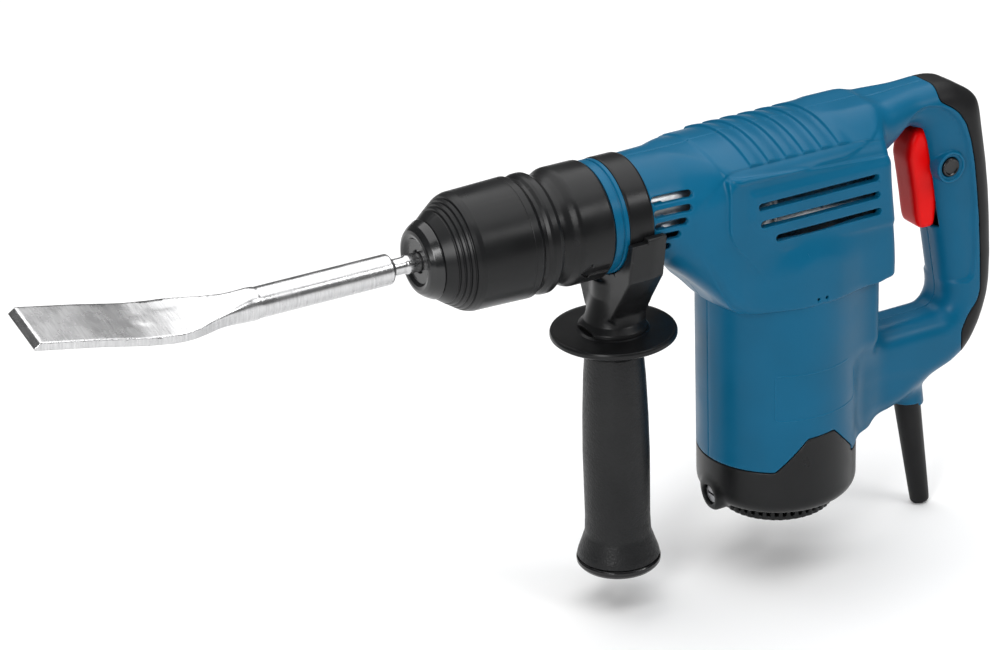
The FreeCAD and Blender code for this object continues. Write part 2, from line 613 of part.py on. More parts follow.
def aux_parts():
    """Clamp band, bracket, bolt and screw-on grip."""
    rub = 0.2
    band = ring_x(BAND_FRONT + 0.1, BAND_REAR, BAND_R, NECK_SEAT_R + rub)
    keep("clamp_band", band)
    saddle_outline = [(-8.5, FLANGE_Z + 0.3), (8.5, FLANGE_Z + 0.3), (14.0, 140.0), (31.0, 166.0),
                      (35.5, 189.5), (31.5, 190.0), (-31.5, 190.0), (-35.5, 189.5), (-31.0, 166.0),
                      (-14.0, 140.0)]
    x0, x1 = along(97.0), along(118.5)
    corners = [V(x0, y, z) for y, z in saddle_outline]
    saddle = Part.Face(Part.makePolygon(corners + corners[:1])).extrude(V(x1 - x0, 0, 0))
    saddle = saddle.cut(ring_x(80, 130, BAND_R + GAP, 0.0))
    hub = turned_z([(0, FLANGE_Z + 0.2), (19.0, FLANGE_Z + 0.2), (19.0, 131.0), (15.0, 134.0),
                    (12.0, 148.0), (0, 148.0)], AUX_X)
    bolt_bore = ring_z(100, 160, 4.1, 0.0, AUX_X)
    nut_room = ring_z(152.0, 165, 9.0, 0.0, AUX_X)
    keep("aux_bracket", biggest(joined([saddle, hub]).cut([bolt_bore, nut_room])))
    head = ring_z(152.2, 156.5, 8.0, 0.0, AUX_X)
    stem = ring_z(66.0, 152.3, 4.0, 0.0, AUX_X)
    keep("clamp_bolt", head.fuse(stem).removeSplitter())
    keep("grip_core", turned_z([
        (4.3, 54.0), (4.3, 95.0), (7.2, 95.0), (7.2, 106.0), (4.3, 106.0), (4.3, FLANGE_Z), (18.5, FLANGE_Z),
        (FLANGE_R, FLANGE_Z - 1.2), (FLANGE_R, 124.8), (32.5, 123.8), (17.0, 123.2), (14.6, 118.0),
        (13.2, 114.0), (13.2, -4.1), (9.0, -4.1), (9.0, 54.0)], AUX_X))
    nut = turned_z([(4.1, 95.2), (7.0, 95.2), (7.0, 105.8), (4.1, 105.8)], AUX_X)
    keep("grip_nut", nut)
    keep("grip_sleeve", turned_z([
        (13.3, -3.2), (13.3, 113.8), (15.4, 116.0), (16.7, 100.0), (17.6, 78.0), (18.0, 55.0), (17.8, 33.0),
        (17.7, 18.0), (18.6, 9.0), (21.0, 0.5), (22.4, -4.8), (22.4, -6.2), (13.3, -6.2)], AUX_X))
    keep("grip_end_cap", turned_z([
        (0, GRIP_BOTTOM), (19.0, GRIP_BOTTOM), (22.0, -10.8), (22.9, -8.8), (22.6, -6.4), (12.9, -6.4),
        (8.8, -4.4), (0, -4.4)], AUX_X))


# ---------------------------------------------------------------- trigger, switch and cord sleeve

TRIGGER_OUTLINE = [
    (88.0, 199.6), (84.6, 198.0), (81.6, 192.4), (80.0, 184.0), (82.1, 173.0), (84.3, 160.0),
    (86.2, 147.0), (87.8, 142.4), (90.6, 140.6), (94.2, 142.4), (96.6, 146.0), (97.5, 160.0),
    (98.5, 196.0), (96.5, 199.6),
]
TRIGGER_WINDOW = [
    (74.0, 201.4), (74.0, 150.0), (86.0, 138.2), (104.0, 138.2), (104.0, 201.4),
]
TRIGGER_PIVOT = V(94.0, 0, 196.0)
TRIGGER_PIN_R = 1.5
TRIGGER_PIN_HALF = 12.2


def control_parts():
    """Trigger on its pin, switch and switch lock button."""
    trigger = prism_y(TRIGGER_OUTLINE, -TRIGGER_HALF, TRIGGER_HALF)
    edges = [e for e in trigger.Edges if abs(e.tangentAt(e.FirstParameter).y) < 0.1
             and max(v.X for v in e.Vertexes) < 90.0]
    trigger = trigger.makeFillet(2.4, edges)
    bore = rod(TRIGGER_PIVOT - V(0, 20, 0), TRIGGER_PIVOT + V(0, 20, 0), TRIGGER_PIN_R + FIT)
    keep("trigger", trigger.cut(bore))
    pin_reach = V(0, TRIGGER_PIN_HALF, 0)
    keep("trigger_pin", rod(TRIGGER_PIVOT - pin_reach, TRIGGER_PIVOT + pin_reach, TRIGGER_PIN_R))
    keep("switch_body", block(106.6, 122.0, -8.5, 8.5, 130.0, 176.0))
    centre = V(LOCK_X, 0, LOCK_Z)
    keep("lock_button", rod(centre + V(0, -19.0, 0), centre + V(0, -12.0, 0), LOCK_R))


def cord_sleeve_parts():
    """Rubber sleeve that guides the cord out of the handle, and its clamp inside."""
    axis = SLEEVE_MOUTH - SLEEVE_TOP
    length = axis.Length
    cone = Part.makeCone(SLEEVE_TOP_R, SLEEVE_MOUTH_R, length, SLEEVE_TOP, axis)
    flange_start = SLEEVE_TOP - axis * (6.0 / length)
    neck = rod(flange_start, SLEEVE_TOP + axis * (1.0 / length), SLEEVE_TOP_R)
    bore = rod(SLEEVE_TOP - axis * (10.0 / length), SLEEVE_MOUTH + axis * (5.0 / length), CORD_R)
    keep("cord_sleeve", cone.fuse(neck).cut(bore).removeSplitter())
    keep("cord_clamp", block(78.0, 90.8, -9.0, 9.0, 52.5, 56.5).cut(
        block(81.5, 89.0, -3.6, 3.6, 50.0, 54.5)))


def build():
    """Make every part and write it."""
    housing_shells()
    end_cap_parts()
    motor_parts()
    crank_parts()
    hammer_parts()
    gear_case_parts()
    tool_holder_parts()
    nose_parts()
    chisel_parts()
    aux_parts()
    control_parts()
    cord_sleeve_parts()
    os.makedirs("parts", exist_ok=True)
    for name, shape in PARTS.items():
        shape.exportStep("parts/" + name + ".step")


build()
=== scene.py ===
"""Looks of a hand-held electric chipping hammer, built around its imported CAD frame.

Shapes are worked out in the CAD frame in millimetres and written to meshes in metres. The housing
and the other moulded pieces are signed distance fields, meshed once and given exact normals.
"""
import json
import math
from concurrent.futures import ThreadPoolExecutor

import bmesh
import bpy
import numpy as np
import openvdb
from mathutils import Matrix, Vector


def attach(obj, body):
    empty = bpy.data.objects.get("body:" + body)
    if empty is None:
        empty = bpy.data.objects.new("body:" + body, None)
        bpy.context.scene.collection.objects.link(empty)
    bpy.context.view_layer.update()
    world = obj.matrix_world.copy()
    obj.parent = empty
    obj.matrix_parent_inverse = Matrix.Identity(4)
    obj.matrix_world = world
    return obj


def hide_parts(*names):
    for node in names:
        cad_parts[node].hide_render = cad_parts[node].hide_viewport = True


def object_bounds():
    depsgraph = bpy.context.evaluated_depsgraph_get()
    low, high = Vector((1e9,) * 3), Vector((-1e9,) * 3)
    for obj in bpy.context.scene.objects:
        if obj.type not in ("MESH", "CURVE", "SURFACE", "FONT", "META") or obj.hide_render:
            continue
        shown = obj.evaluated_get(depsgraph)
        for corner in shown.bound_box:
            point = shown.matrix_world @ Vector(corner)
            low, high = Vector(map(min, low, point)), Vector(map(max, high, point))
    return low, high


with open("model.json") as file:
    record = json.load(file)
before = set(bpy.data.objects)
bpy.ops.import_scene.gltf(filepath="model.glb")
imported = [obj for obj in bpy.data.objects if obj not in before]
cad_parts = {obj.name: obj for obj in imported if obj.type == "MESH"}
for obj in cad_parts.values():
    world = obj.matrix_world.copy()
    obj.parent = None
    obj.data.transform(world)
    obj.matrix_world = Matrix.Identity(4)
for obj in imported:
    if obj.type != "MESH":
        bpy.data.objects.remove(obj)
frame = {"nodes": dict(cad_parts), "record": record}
CAD_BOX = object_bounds()

MM = 0.001

# Places of the machine, as the CAD has them
SPINDLE_Z = 193.2
MOTOR_STATION = 209.0
BARREL_R = 43.8
SEAM_Z = 132.3
CAP_Z = 35.5
WALL = 2.4
SPLIT_GAP = 0.03            # each shell's distance from the middle plane
CROWN_LIMIT = 224.9         # highest point of the housing
RING_R = 31.4               # turning ring's flank
PITCH = 0.55


# ---------------------------------------------------------------- distance fields

def smooth_min(a, b, k):
    """Union with a fillet about k / 2 deep."""
    h = np.maximum(k - np.abs(a - b), 0) / k
    return np.minimum(a, b) - h * h * (k / 4)


def smooth_max(a, b, k):
    """Intersection with an edge about k / 2 deep."""
    return -smooth_min(-a, -b, k)


def rounded(a, b, radius):
    """Intersection of two slabs with an edge of that radius."""
    qa, qb = a + radius, b + radius
    outside = np.hypot(np.maximum(qa, 0), np.maximum(qb, 0))
    return outside + np.minimum(np.maximum(qa, qb), 0) - radius


def cylinder_z(x, y, z, cx, cy, z0, z1, radius, edge):
    return rounded(np.hypot(x - cx, y - cy) - radius, np.abs(z - (z0 + z1) / 2) - (z1 - z0) / 2, edge)


def segment(x, y, z, start, end, r0, r1):
    """Rounded cone between two points."""
    a, b = np.array(start), np.array(end)
    d = b - a
    t = ((x - a[0]) * d[0] + (y - a[1]) * d[1] + (z - a[2]) * d[2]) / (d @ d)
    t = np.clip(t, 0, 1)
    return np.sqrt((x - a[0] - d[0] * t) ** 2 + (y - a[1] - d[1] * t) ** 2
                   + (z - a[2] - d[2] * t) ** 2) - (r0 + (r1 - r0) * t)


def ramp(value, start, end):
    """0 before start, 1 after end, smooth between."""
    t = np.clip((value - start) / (end - start), 0, 1)
    return t * t * (3 - 2 * t)


class Outline:
    """Signed distance to a closed outline in the (x, z) plane, with softened corners."""
    STEP = 0.5
    LOW = (-120.0, -45.0)
    SIZE = (560, 570)

    def __init__(self, corners, softness=0.0):
        xs = self.LOW[0] + np.arange(self.SIZE[0]) * self.STEP
        zs = self.LOW[1] + np.arange(self.SIZE[1]) * self.STEP
        x, z = np.meshgrid(xs, zs, indexing="ij")
        best = np.full(x.shape, 1e9)
        inside = np.zeros(x.shape, bool)
        for (x0, z0), (x1, z1) in zip(corners, corners[1:] + corners[:1]):
            ex, ez = x1 - x0, z1 - z0
            t = np.clip(((x - x0) * ex + (z - z0) * ez) / (ex * ex + ez * ez), 0, 1)
            best = np.minimum(best, (x - x0 - ex * t) ** 2 + (z - z0 - ez * t) ** 2)
            if ez:
                inside ^= ((z0 <= z) != (z1 <= z)) & (x - x0 < ex * (z - z0) / ez)
        distance = np.where(inside, -1, 1) * np.sqrt(best)
        self.table = blurred(distance, softness / self.STEP).astype(np.float32)

    def __call__(self, x, z):
        u = np.clip((x - self.LOW[0]) / self.STEP, 0, self.SIZE[0] - 1.001)
        v = np.clip((z - self.LOW[1]) / self.STEP, 0, self.SIZE[1] - 1.001)
        i, j = u.astype(np.int32), v.astype(np.int32)
        fu, fv = (u - i).astype(np.float32), (v - j).astype(np.float32)
        flat = self.table.ravel()
        k = i * self.SIZE[1] + j
        a = flat[k] * (1 - fv) + flat[k + 1] * fv
        b = flat[k + self.SIZE[1]] * (1 - fv) + flat[k + self.SIZE[1] + 1] * fv
        return a * (1 - fu) + b * fu


def blurred(table, radius):
    """Three box averages of a table, which round its creases."""
    width = int(round(radius))
    if width < 1:
        return table
    for axis in (0, 1):
        for _ in range(3):
            pad = [(width + 1, width) if a == axis else (0, 0) for a in (0, 1)]
            total = np.cumsum(np.pad(table, pad, mode="edge"), axis=axis)
            span = 2 * width + 1
            upper = np.take(total, range(span, total.shape[axis]), axis=axis)
            lower = np.take(total, range(0, total.shape[axis] - span), axis=axis)
            table = (upper - lower) / span
    return table


class Curve:
    """A value along X from a few (x, value) points, with softened corners."""

    def __init__(self, points, softness=6.0):
        self.xs = np.arange(points[0][0] - softness, points[-1][0] + softness, 0.5)
        values = np.interp(self.xs, [p[0] for p in points], [p[1] for p in points])
        width = int(softness / 0.5)
        kernel = np.hanning(2 * width + 1)
        padded = np.pad(values, width, mode="edge")
        self.values = np.convolve(padded, kernel / kernel.sum(), mode="valid")

    def __call__(self, x):
        return np.interp(x, self.xs, self.values)


# ---------------------------------------------------------------- from fields to meshes

BLOCK = 8


def sampled(field, low, high, pitch):
    """The field on a grid, worked out only in the blocks that the surface passes through."""
    counts = [int(math.ceil((b - a) / pitch / BLOCK)) for a, b in zip(low, high)]
    centres = [a + (np.arange(n) * BLOCK + (BLOCK - 1) / 2) * pitch for a, n in zip(low, counts)]
    cx, cy, cz = np.meshgrid(*centres, indexing="ij")
    coarse = field(cx.ravel(), cy.ravel(), cz.ravel()).reshape(cx.shape)
    reach = BLOCK * pitch * 0.87 * 1.5 + 1.2
    far = np.sign(coarse) * 3 * pitch
    grid = np.repeat(np.repeat(np.repeat(far, BLOCK, 0), BLOCK, 1), BLOCK, 2).astype(np.float32)
    active = np.argwhere(np.abs(coarse) < reach)
    offsets = np.stack(np.meshgrid(*[np.arange(BLOCK)] * 3, indexing="ij"), -1).reshape(-1, 3)

    def fill(chunk):
        cells = chunk[:, None, :] * BLOCK + offsets[None]
        points = np.array(low) + cells.reshape(-1, 3) * pitch
        values = field(points[:, 0], points[:, 1], points[:, 2])
        return cells.reshape(-1, 3), np.clip(values, -3 * pitch, 3 * pitch)

    chunks = [active[i:i + 60] for i in range(0, len(active), 60)]
    with ThreadPoolExecutor(4) as pool:
        for cells, values in pool.map(fill, chunks):
            grid[cells[:, 0], cells[:, 1], cells[:, 2]] = values
    return grid


def slopes(field, points, step=0.15):
    """Direction in which the field grows at each point."""
    n = np.zeros_like(points)
    for axis in range(3):
        ahead, behind = points.copy(), points.copy()
        ahead[:, axis] += step
        behind[:, axis] -= step
        n[:, axis] = field(*ahead.T) - field(*behind.T)
    return n / (2 * step)


def field_mesh(name, field, low, high, pitch=None, adaptivity=0.02, normal_step=0.3):
    """A mesh of the field's zero surface inside a box, with the field's own normals."""
    pitch = pitch or PITCH
    grid = openvdb.FloatGrid(3 * pitch)
    grid.copyFromArray(sampled(field, low, high, pitch))
    grid.transform = openvdb.createLinearTransform(voxelSize=pitch)
    points, triangles, quads = grid.convertToPolygons(0.0, adaptivity)
    points = points.astype(float) + np.array(low)
    for _ in range(2):
        slope = slopes(field, points)
        steep = np.maximum((slope ** 2).sum(1), 0.2)
        move = np.clip(field(*points.T) / steep, -0.5 * pitch, 0.5 * pitch)
        points -= slope * move[:, None]
    normals = slopes(field, points, normal_step)
    normals /= np.maximum(np.linalg.norm(normals, axis=1), 1e-9)[:, None]
    return mesh_object(name, points, triangles.tolist() + quads.tolist(), normals)


def mesh_object(name, points, faces, normals=None):
    """A smooth mesh from points in millimetres."""
    mesh = bpy.data.meshes.new(name)
    mesh.from_pydata((np.asarray(points) * MM).tolist(), [], faces)
    mesh.validate()
    mesh.shade_smooth()
    if normals is not None:
        mesh.normals_split_custom_set_from_vertices(normals.tolist())
    made = bpy.data.objects.new(name, mesh)
    bpy.context.scene.collection.objects.link(made)
    return made


# ---------------------------------------------------------------- housing

# Upper housing along X: half width, underside, top, corner radii and how much the top is crowned
HALF_WIDTH = Curve([(-94, 29.0), (-79, 29.4), (-62, 33.4), (-52, 36.6), (-45, 37.6), (60, 37.6)], 5)
UNDERSIDE = Curve([(-94, 164.2), (-79, 163.0), (-68, 155.6), (-58, 146.4), (-49, 136), (-38, 131), (30, 131),
                   (46, 136), (60, 136.5)], 6)
TOP = Curve([(-94, 222.0), (-66, 221.8), (-50, 221.8), (-30, 221.9), (20, 221.8), (48, 221.4), (90, 221)], 8)
TOP_CORNER = Curve([(-94, 28.8), (-73, 27.5), (-46, 5), (-30, 4), (20, 5), (60, 8)], 5)
LOW_CORNER = Curve([(-94, 28.8), (-79, 27), (-62, 20), (-48, 10), (-35, 6), (60, 5)], 8)
CROWN = Curve([(-94, 0), (-80, 0), (-58, 1 / 118), (20, 1 / 118), (50, 1 / 100), (90, 1 / 100)], 6)

HANDLE = Outline([
    (20, 206), (28, 221.6), (50, 222.4), (76, 223.6), (96, 224.5), (102, 224.3), (107.5, 223.0),
    (119.6, 216.0), (123.6, 212.0), (125.4, 206), (127.2, 194.7), (130.3, 176.4), (132.6, 158.2),
    (134.0, 140), (135.0, 118), (134.8, 103.7), (133.7, 94.8), (131.3, 86), (128, 77.4), (123.3, 68.8),
    (117.5, 61.8), (108.6, 56.4), (97, 51.7), (88, 47.2), (77.4, 40.6), (64.5, 36.8),
    (52, 35.8), (20, 35.8), (20, 88.8),
    (99.8, 89.2), (103.4, 91.8), (105.2, 96), (105.4, 100), (102.9, 115), (99.6, 135), (96.5, 149.6),
    (94.2, 164.4), (92, 177.4), (89.2, 192), (86.5, 199.8), (82, 202.8), (77, 202.8), (71, 200),
    (65.5, 195.5), (56.5, 187), (48, 176), (20, 172)], 1.5)
STRIP = Outline([
    (96, 240), (95.5, 226), (94, 221), (94, 217), (96.5, 215.4), (101.5, 212.3), (106, 208.6),
    (111.2, 201), (114.5, 191), (117.3, 178), (119.4, 161), (121.3, 143.7), (122.8, 118.5), (123.3, 100),
    (121.5, 94), (115, 86), (111.2, 78), (111.4, 70), (114, 62), (117, 50), (170, 50), (170, 240)], 1.0)
CHEEK = Outline([
    (62.7, 196), (66, 202), (71, 209), (78, 214.4), (86, 216), (94, 214.2), (101, 209.5), (106.5, 203.5),
    (111.8, 191), (115, 173), (117.5, 155), (119, 125), (118, 108), (100, 106), (86, 140), (50, 140),
    (50, 196)], 2.0)
SIDE_PAD = Outline([
    (-52.8, 211.3), (-10.6, 208.2), (20.7, 205.8), (60, 203.2), (60, 120), (-4.2, 120), (-18.5, 137.3),
    (-49.4, 174.5), (-53.0, 182.7)], 1.0)
VENT_PANEL = Outline([
    (-42.0, 203.8), (60, 202.8), (60, 163.6), (-21.8, 164.4), (-42.0, 187.0)], 0.5)
TOP_CAP = Outline([
    (-48, 208.2), (18, 208.0), (28, 210), (36, 212), (43, 216), (48, 221), (50, 230), (50, 245),
    (-58, 245), (-53, 214)], 1.5)
CAP_TAB = Outline([
    (-90, -20), (-90, CAP_Z), (-24.4, CAP_Z), (-7.6, 54.3), (9.2, 55.4), (25.2, 38.7), (25.2, CAP_Z),
    (90, CAP_Z), (90, -20)], 0.5)
TRIGGER_WINDOW = Outline([(70, 201.2), (70, 139.9), (102.5, 139.9), (104, 201.2)], 0.5)
LOCK_X = 101.6
LOCK_Z = 177.8
SLEEVE_TOP = Vector((87.2, 0, 38.0))
SLEEVE_MOUTH = Vector((97.9, 0, -31.0))

GRIP_SCALES = [-37.2 + 10.98 * i for i in range(6)]
SIDE_SLOTS = [(-36.6, 38.6, 194.2), (-35.2, 39.4, 184.2), (-26.0, 40.2, 174.6)]
NECK_SLOTS = [(206.2, -69.8), (199.5, -71.2), (192.9, -74.0), (186.4, -78.0), (180.0, -82.9)]
SLOT_HALF = 2.0
NECK_FRONT = -93.6


def rounded_section(x, y, z):
    """Upper housing's section across the spindle."""
    low, high = UNDERSIDE(x), TOP(x)
    middle = (low + high) / 2
    z = z + CROWN(x) * np.minimum(np.abs(y), 40) ** 2 * ramp(z, 165, 200)
    corner = np.where(z > middle, TOP_CORNER(x), LOW_CORNER(x))
    return rounded(np.abs(y) - HALF_WIDTH(x), np.abs(z - middle) - (high - low) / 2, corner)


def rear_face(x, z):
    """Leaning rear face of the upper housing."""
    return x - 52.4 + 4.6 * ramp(z, 140, 205)


def upper_plain(x, y, z):
    """Upper housing without its panels, down into the barrel's apron."""
    body = rounded_section(x, y, z)
    radius = np.hypot(x, y)
    apron = radius - (BARREL_R + 0.7 - 7.5 * ramp(z, 152, 176))
    apron = rounded(apron, z - 178, 6)
    return smooth_max(smooth_min(body, apron, 12), np.abs(y) - 44.2, 1)


def upper_housing(x, y, z):
    """Upper housing with its raised panels and grip ledges."""
    d = upper_plain(x, y, z)
    side = np.abs(y)
    pad = smooth_max(smooth_max(side - 38.5, SIDE_PAD(x, z), 1.2), d - 4.0, 1)
    d = smooth_min(d, pad, 1.6)
    chamfer = (VENT_PANEL(x, z) + 3.0) * 0.5 + side - 40.1
    panel = smooth_max(smooth_max(side - 40.1, chamfer, 0.5), VENT_PANEL(x, z) - 1.0, 0.5)
    d = smooth_min(d, panel, 0.8)
    cap = smooth_max(d - 0.8, TOP_CAP(x, z), 1.6)
    d = smooth_min(d, cap, 1.0)
    for start in GRIP_SCALES:
        rise = 1.5 * ramp(x, start - 0.5, start + 0.9) * (1 - ramp(x, start + 1, start + 10.5) ** 1.3)
        scale = smooth_max(d - rise, side - 32.2, 0.8)
        d = smooth_min(d, scale, 0.4)
    d = smooth_max(d, rear_face(x, z), 5)
    return smooth_max(d, SEAM_Z - z, 0.8)


def barrel(x, y, z):
    """Motor barrel down to the base."""
    radius = np.hypot(x, y)
    return smooth_max(rounded(radius - BARREL_R, 8.0 - z, 9.0), z - SEAM_Z - 4, 1)


def lower_housing(x, y, z):
    """Barrel with the web that joins it to the handle."""
    web = rounded(np.abs(y) - (17.5 + 12.0 * ramp(z, 72, 96)), x - 49.5, 6)
    web = smooth_max(smooth_max(web, CAP_Z - z, 1), z - SEAM_Z - 2, 1)
    return smooth_min(barrel(x, y, z), smooth_max(web, -x, 1), 12)


def handle(x, y, z):
    """D-handle: a rounded section that follows the outline."""
    half = 18.0 + 5.0 * ramp(x, 84, 54) * ramp(z, 192, 212) - 1.8 * ramp(CHEEK(x, z), 1.2, -1.2)
    half = half - 0.8 * ramp(z + (x - 50) * 0.14, 68, 60) * ramp(x, 118, 106)
    loop = rounded(np.abs(y) - half, HANDLE(x, z), 12.5)
    boss = segment(x, y, z, (84.6, 0, 56), (87.6, 0, 34.5), 9.6, 9.4)
    boss = smooth_max(boss, 33.0 - z, 1.5)
    return smooth_min(loop, boss, 7)


def lock_rim(x, y, z):
    """Raised rim round the switch lock button."""
    radius = np.hypot(x - LOCK_X, z - LOCK_Z)
    return rounded(radius - 8.8, np.abs(y + 14) - 4.4, 0.7)


def joined_outer(x, y, z):
    """Outer skin of both shells."""
    d = smooth_min(upper_housing(x, y, z), handle(x, y, z), 13)
    d = smooth_max(d, z - CROWN_LIMIT, 0.5)
    low = smooth_min(lower_housing(x, y, z), handle(x, y, z), 14)
    above = smooth_max(d, 110 - z, 1)
    below = smooth_max(low, z - 134, 1)
    d = np.minimum(above, below)
    return smooth_min(d, lock_rim(x, y, z), 1.2)


def shell(x, y, z):
    """Housing wall with all its openings, before it is split in two."""
    outer = joined_outer(x, y, z)
    plain = smooth_max(smooth_max(upper_plain(x, y, z), rear_face(x, z), 5), SEAM_Z - z, 0.8)
    plain = np.minimum(plain, lower_housing(x, y, z))
    plain = smooth_min(plain, handle(x, y, z), 9)
    d = smooth_max(outer, -(plain + WALL), 0.5)
    d = smooth_max(d, -cylinder_z(x, y, z, 0, 0, SEAM_Z - 5, SEAM_Z + 6, BARREL_R - WALL - 0.6, 0.5), 0.5)
    d = smooth_max(d, NECK_FRONT - x, 0.5)
    radius = np.hypot(y, z - SPINDLE_Z)
    seat = rounded(np.abs(radius - 26.2) - 1.2, np.abs(x - NECK_FRONT) - 8.0, 0.3)
    d = smooth_min(d, seat, 0.4)
    side = np.abs(y)
    for x0, x1, zc in SIDE_SLOTS:
        along_x = np.abs(x - (x0 + x1) / 2) - (x1 - x0) / 2
        slot = smooth_max(rounded(along_x, np.abs(z - zc) - SLOT_HALF, 1.9), 26 - side, 0.5)
        d = smooth_max(d, -slot, 0.6)
    for zc, rear in NECK_SLOTS:
        along_x = np.maximum(x - rear, NECK_FRONT + 0.6 - x)
        slot = smooth_max(rounded(along_x, np.abs(z - zc) - SLOT_HALF, 1.9), 8 - side, 0.5)
        d = smooth_max(d, -slot, 0.6)
    d = smooth_max(d, -(CAP_TAB(x, z) - 0.15), 0.5)
    strip = smooth_max(STRIP(x, z) - 0.2, -(handle(x, y, z) + 3.2), 0.6)
    d = smooth_max(d, -strip, 0.6)
    window = smooth_max(TRIGGER_WINDOW(x, z), side - 9.5, 0.8)
    d = smooth_max(d, -window, 0.8)
    button = smooth_max(np.hypot(x - LOCK_X, z - LOCK_Z) - 5.6, y + 8, 0.4)
    d = smooth_max(d, -button, 0.8)
    dish = smooth_max(np.hypot(x - LOCK_X, z - LOCK_Z) - 7.4, y + 17.2, 0.5)
    d = smooth_max(d, -dish, 0.8)
    for angle in (-92.6, -85.8):
        a = math.radians(angle)
        across = np.hypot(x * math.sin(a) - y * math.cos(a), z - 135.4)
        hole = smooth_max(across - 0.9, -(x * math.cos(a) + y * math.sin(a)) + 40, 0.3)
        d = smooth_max(d, -hole, 0.3)
    cord = segment(x, y, z, (84.4, 0, 56), (89, 0, 26), 7.8, 7.8)
    return smooth_max(d, -cord, 0.6)


def make_shells():
    """Left and right halves of the housing, parted at the middle plane."""
    for name, sign, y_low, y_high in (("housing_left", -1, -45, 1), ("housing_right", 1, -1, 45)):
        def half(x, y, z, sign=sign):
            return smooth_max(shell(x, y, z), SPLIT_GAP - sign * y, 0.5)
        piece = field_mesh(name, half, (-103, y_low, 34), (146, y_high, 233))
        finish_piece(piece, "housing", "blue_housing", name + "_shell")


# ---------------------------------------------------------------- strip, end cap and base

def rubber_strip(x, y, z):
    """Soft strip on the back of the handle, a little proud of the shells."""
    skin = handle(x, y, z)
    d = smooth_max(skin, -(skin + 2.9), 0.4)
    return smooth_max(d, STRIP(x, z) + 0.15, 0.7)


def end_cap(x, y, z):
    """Black cap under the barrel, with its screw lug."""
    outer = barrel(x, y, z)
    d = smooth_max(outer, -(outer + WALL), 0.5)
    d = smooth_max(d, CAP_TAB(x, z) + 0.15, 0.6)
    lug = rounded(np.hypot(y, z - 12.6) - 9.5, np.abs(x + 36.5) - 7.2, 2.6)
    d = smooth_min(d, lug, 3.5)
    d = smooth_max(d, -cylinder_z(x, y, z, 0, 0, -5, 30, 31.4, 0.5), 0.6)
    hole = rounded(np.hypot(y, z - 12.5) - 5.6, np.abs(x + 44.6) - 5.0, 0.4)
    d = smooth_max(d, -hole, 0.9)
    return smooth_max(d, CAP_TAB(x, z) + 0.15, 0.6)


GRILLE_RIBS = 44


def base_grille(x, y, z):
    """Flat foot with a ring of upright ribs."""
    radius = np.hypot(x, y)
    plate = rounded(radius - 31.0, np.abs(z - 1.25) - 1.25, 0.7)
    core = rounded(radius - 27.6, np.abs(z - 10.0) - 9.8, 0.3)
    core = smooth_max(core, -(radius - 25.4), 0.3)
    sector = 2 * math.pi / GRILLE_RIBS
    turn = (np.arctan2(y, x) % sector - sector / 2) * radius
    rib = rounded(np.abs(turn) - 1.15, np.abs(radius - 29.0) - 2.3, 0.5)
    rib = smooth_max(rib, np.abs(z - 4.6) - 4.4, 0.5)
    return smooth_min(smooth_min(plate, core, 0.6), rib, 0.6)


def bottom_parts():
    """Rubber strip, end cap and air grille."""
    strip = field_mesh("rear_strip", rubber_strip, (74, -20, 44), (146, 20, 230))
    finish_piece(strip, "housing", "black_rubber", "rear_grip_strip")
    cap = field_mesh("end_cap", end_cap, (-49, -45, 3), (45, 45, 58))
    finish_piece(cap, "housing", "black_plastic", "motor_end_cap")
    grille = field_mesh("air_grille", base_grille, (-33, -33, -1), (33, 33, 21))
    finish_piece(grille, "housing", "black_plastic", "base_air_grille")


# ---------------------------------------------------------------- turned pieces

def filleted(corners, closed):
    """Points and outward normals of a turned outline whose corners are rounded."""
    points = [Vector((c[0], c[1])) for c in corners]
    radii = [c[2] if len(c) > 2 else 0.4 for c in corners]
    count = len(points)
    out = []
    for i, corner in enumerate(points):
        if not closed and i in (0, count - 1):
            side = points[1] - points[0] if i == 0 else points[-1] - points[-2]
            side.normalize()
            out.append((corner, Vector((-side.y, side.x))))
            continue
        before = corner - points[i - 1]
        after = points[(i + 1) % count] - corner
        room = 0.48 * min(before.length, after.length)
        before.normalize()
        after.normalize()
        turn = before.angle_signed(after) if before.dot(after) < 0.99999 else 0.0
        n0, n1 = Vector((-before.y, before.x)), Vector((-after.y, after.x))
        if abs(turn) < 0.02:
            out.append((corner, (n0 + n1).normalized()))
            continue
        cut = min(radii[i] * math.tan(abs(turn) / 2), room)
        radius = cut / math.tan(abs(turn) / 2)
        bend = 1 if before.x * after.y - before.y * after.x > 0 else -1
        centre = corner - before * cut + n0 * radius * bend
        steps = max(2, int(abs(turn) / 0.3))
        for step in range(steps + 1):
            normal = n0.lerp(n1, step / steps).normalized()
            out.append((centre - normal * radius * bend, normal))
    return out


def turned(name, corners, origin, axis, closed=True, segments=144):
    """A turned piece from (along, radius) corners about an axis. The corners run so that the left
    of their path is outside."""
    outline = filleted(corners, closed)
    axis = Vector(axis).normalized()
    side = axis.cross(Vector((0, 1, 0))) if abs(axis.y) < 0.9 else axis.cross(Vector((1, 0, 0)))
    side.normalize()
    other = axis.cross(side)
    points, normals = [], []
    for place, normal in outline:
        for k in range(segments):
            a = 2 * math.pi * k / segments
            radial = side * math.cos(a) + other * math.sin(a)
            points.append(Vector(origin) + axis * place.x + radial * place.y)
            normals.append(axis * normal.x + radial * normal.y)
    faces = []
    rows = len(outline)
    for i in range(rows if closed else rows - 1):
        j = (i + 1) % rows
        for k in range(segments):
            m = (k + 1) % segments
            faces.append((i * segments + k, i * segments + m, j * segments + m, j * segments + k))
    made = mesh_object(name, points, faces)
    mesh = made.data
    if not closed:
        bm = bmesh.new()
        bm.from_mesh(mesh)
        bmesh.ops.remove_doubles(bm, verts=bm.verts, dist=1e-7)
        bm.to_mesh(mesh)
        bm.free()
    place_normals(mesh, points, normals)
    return made


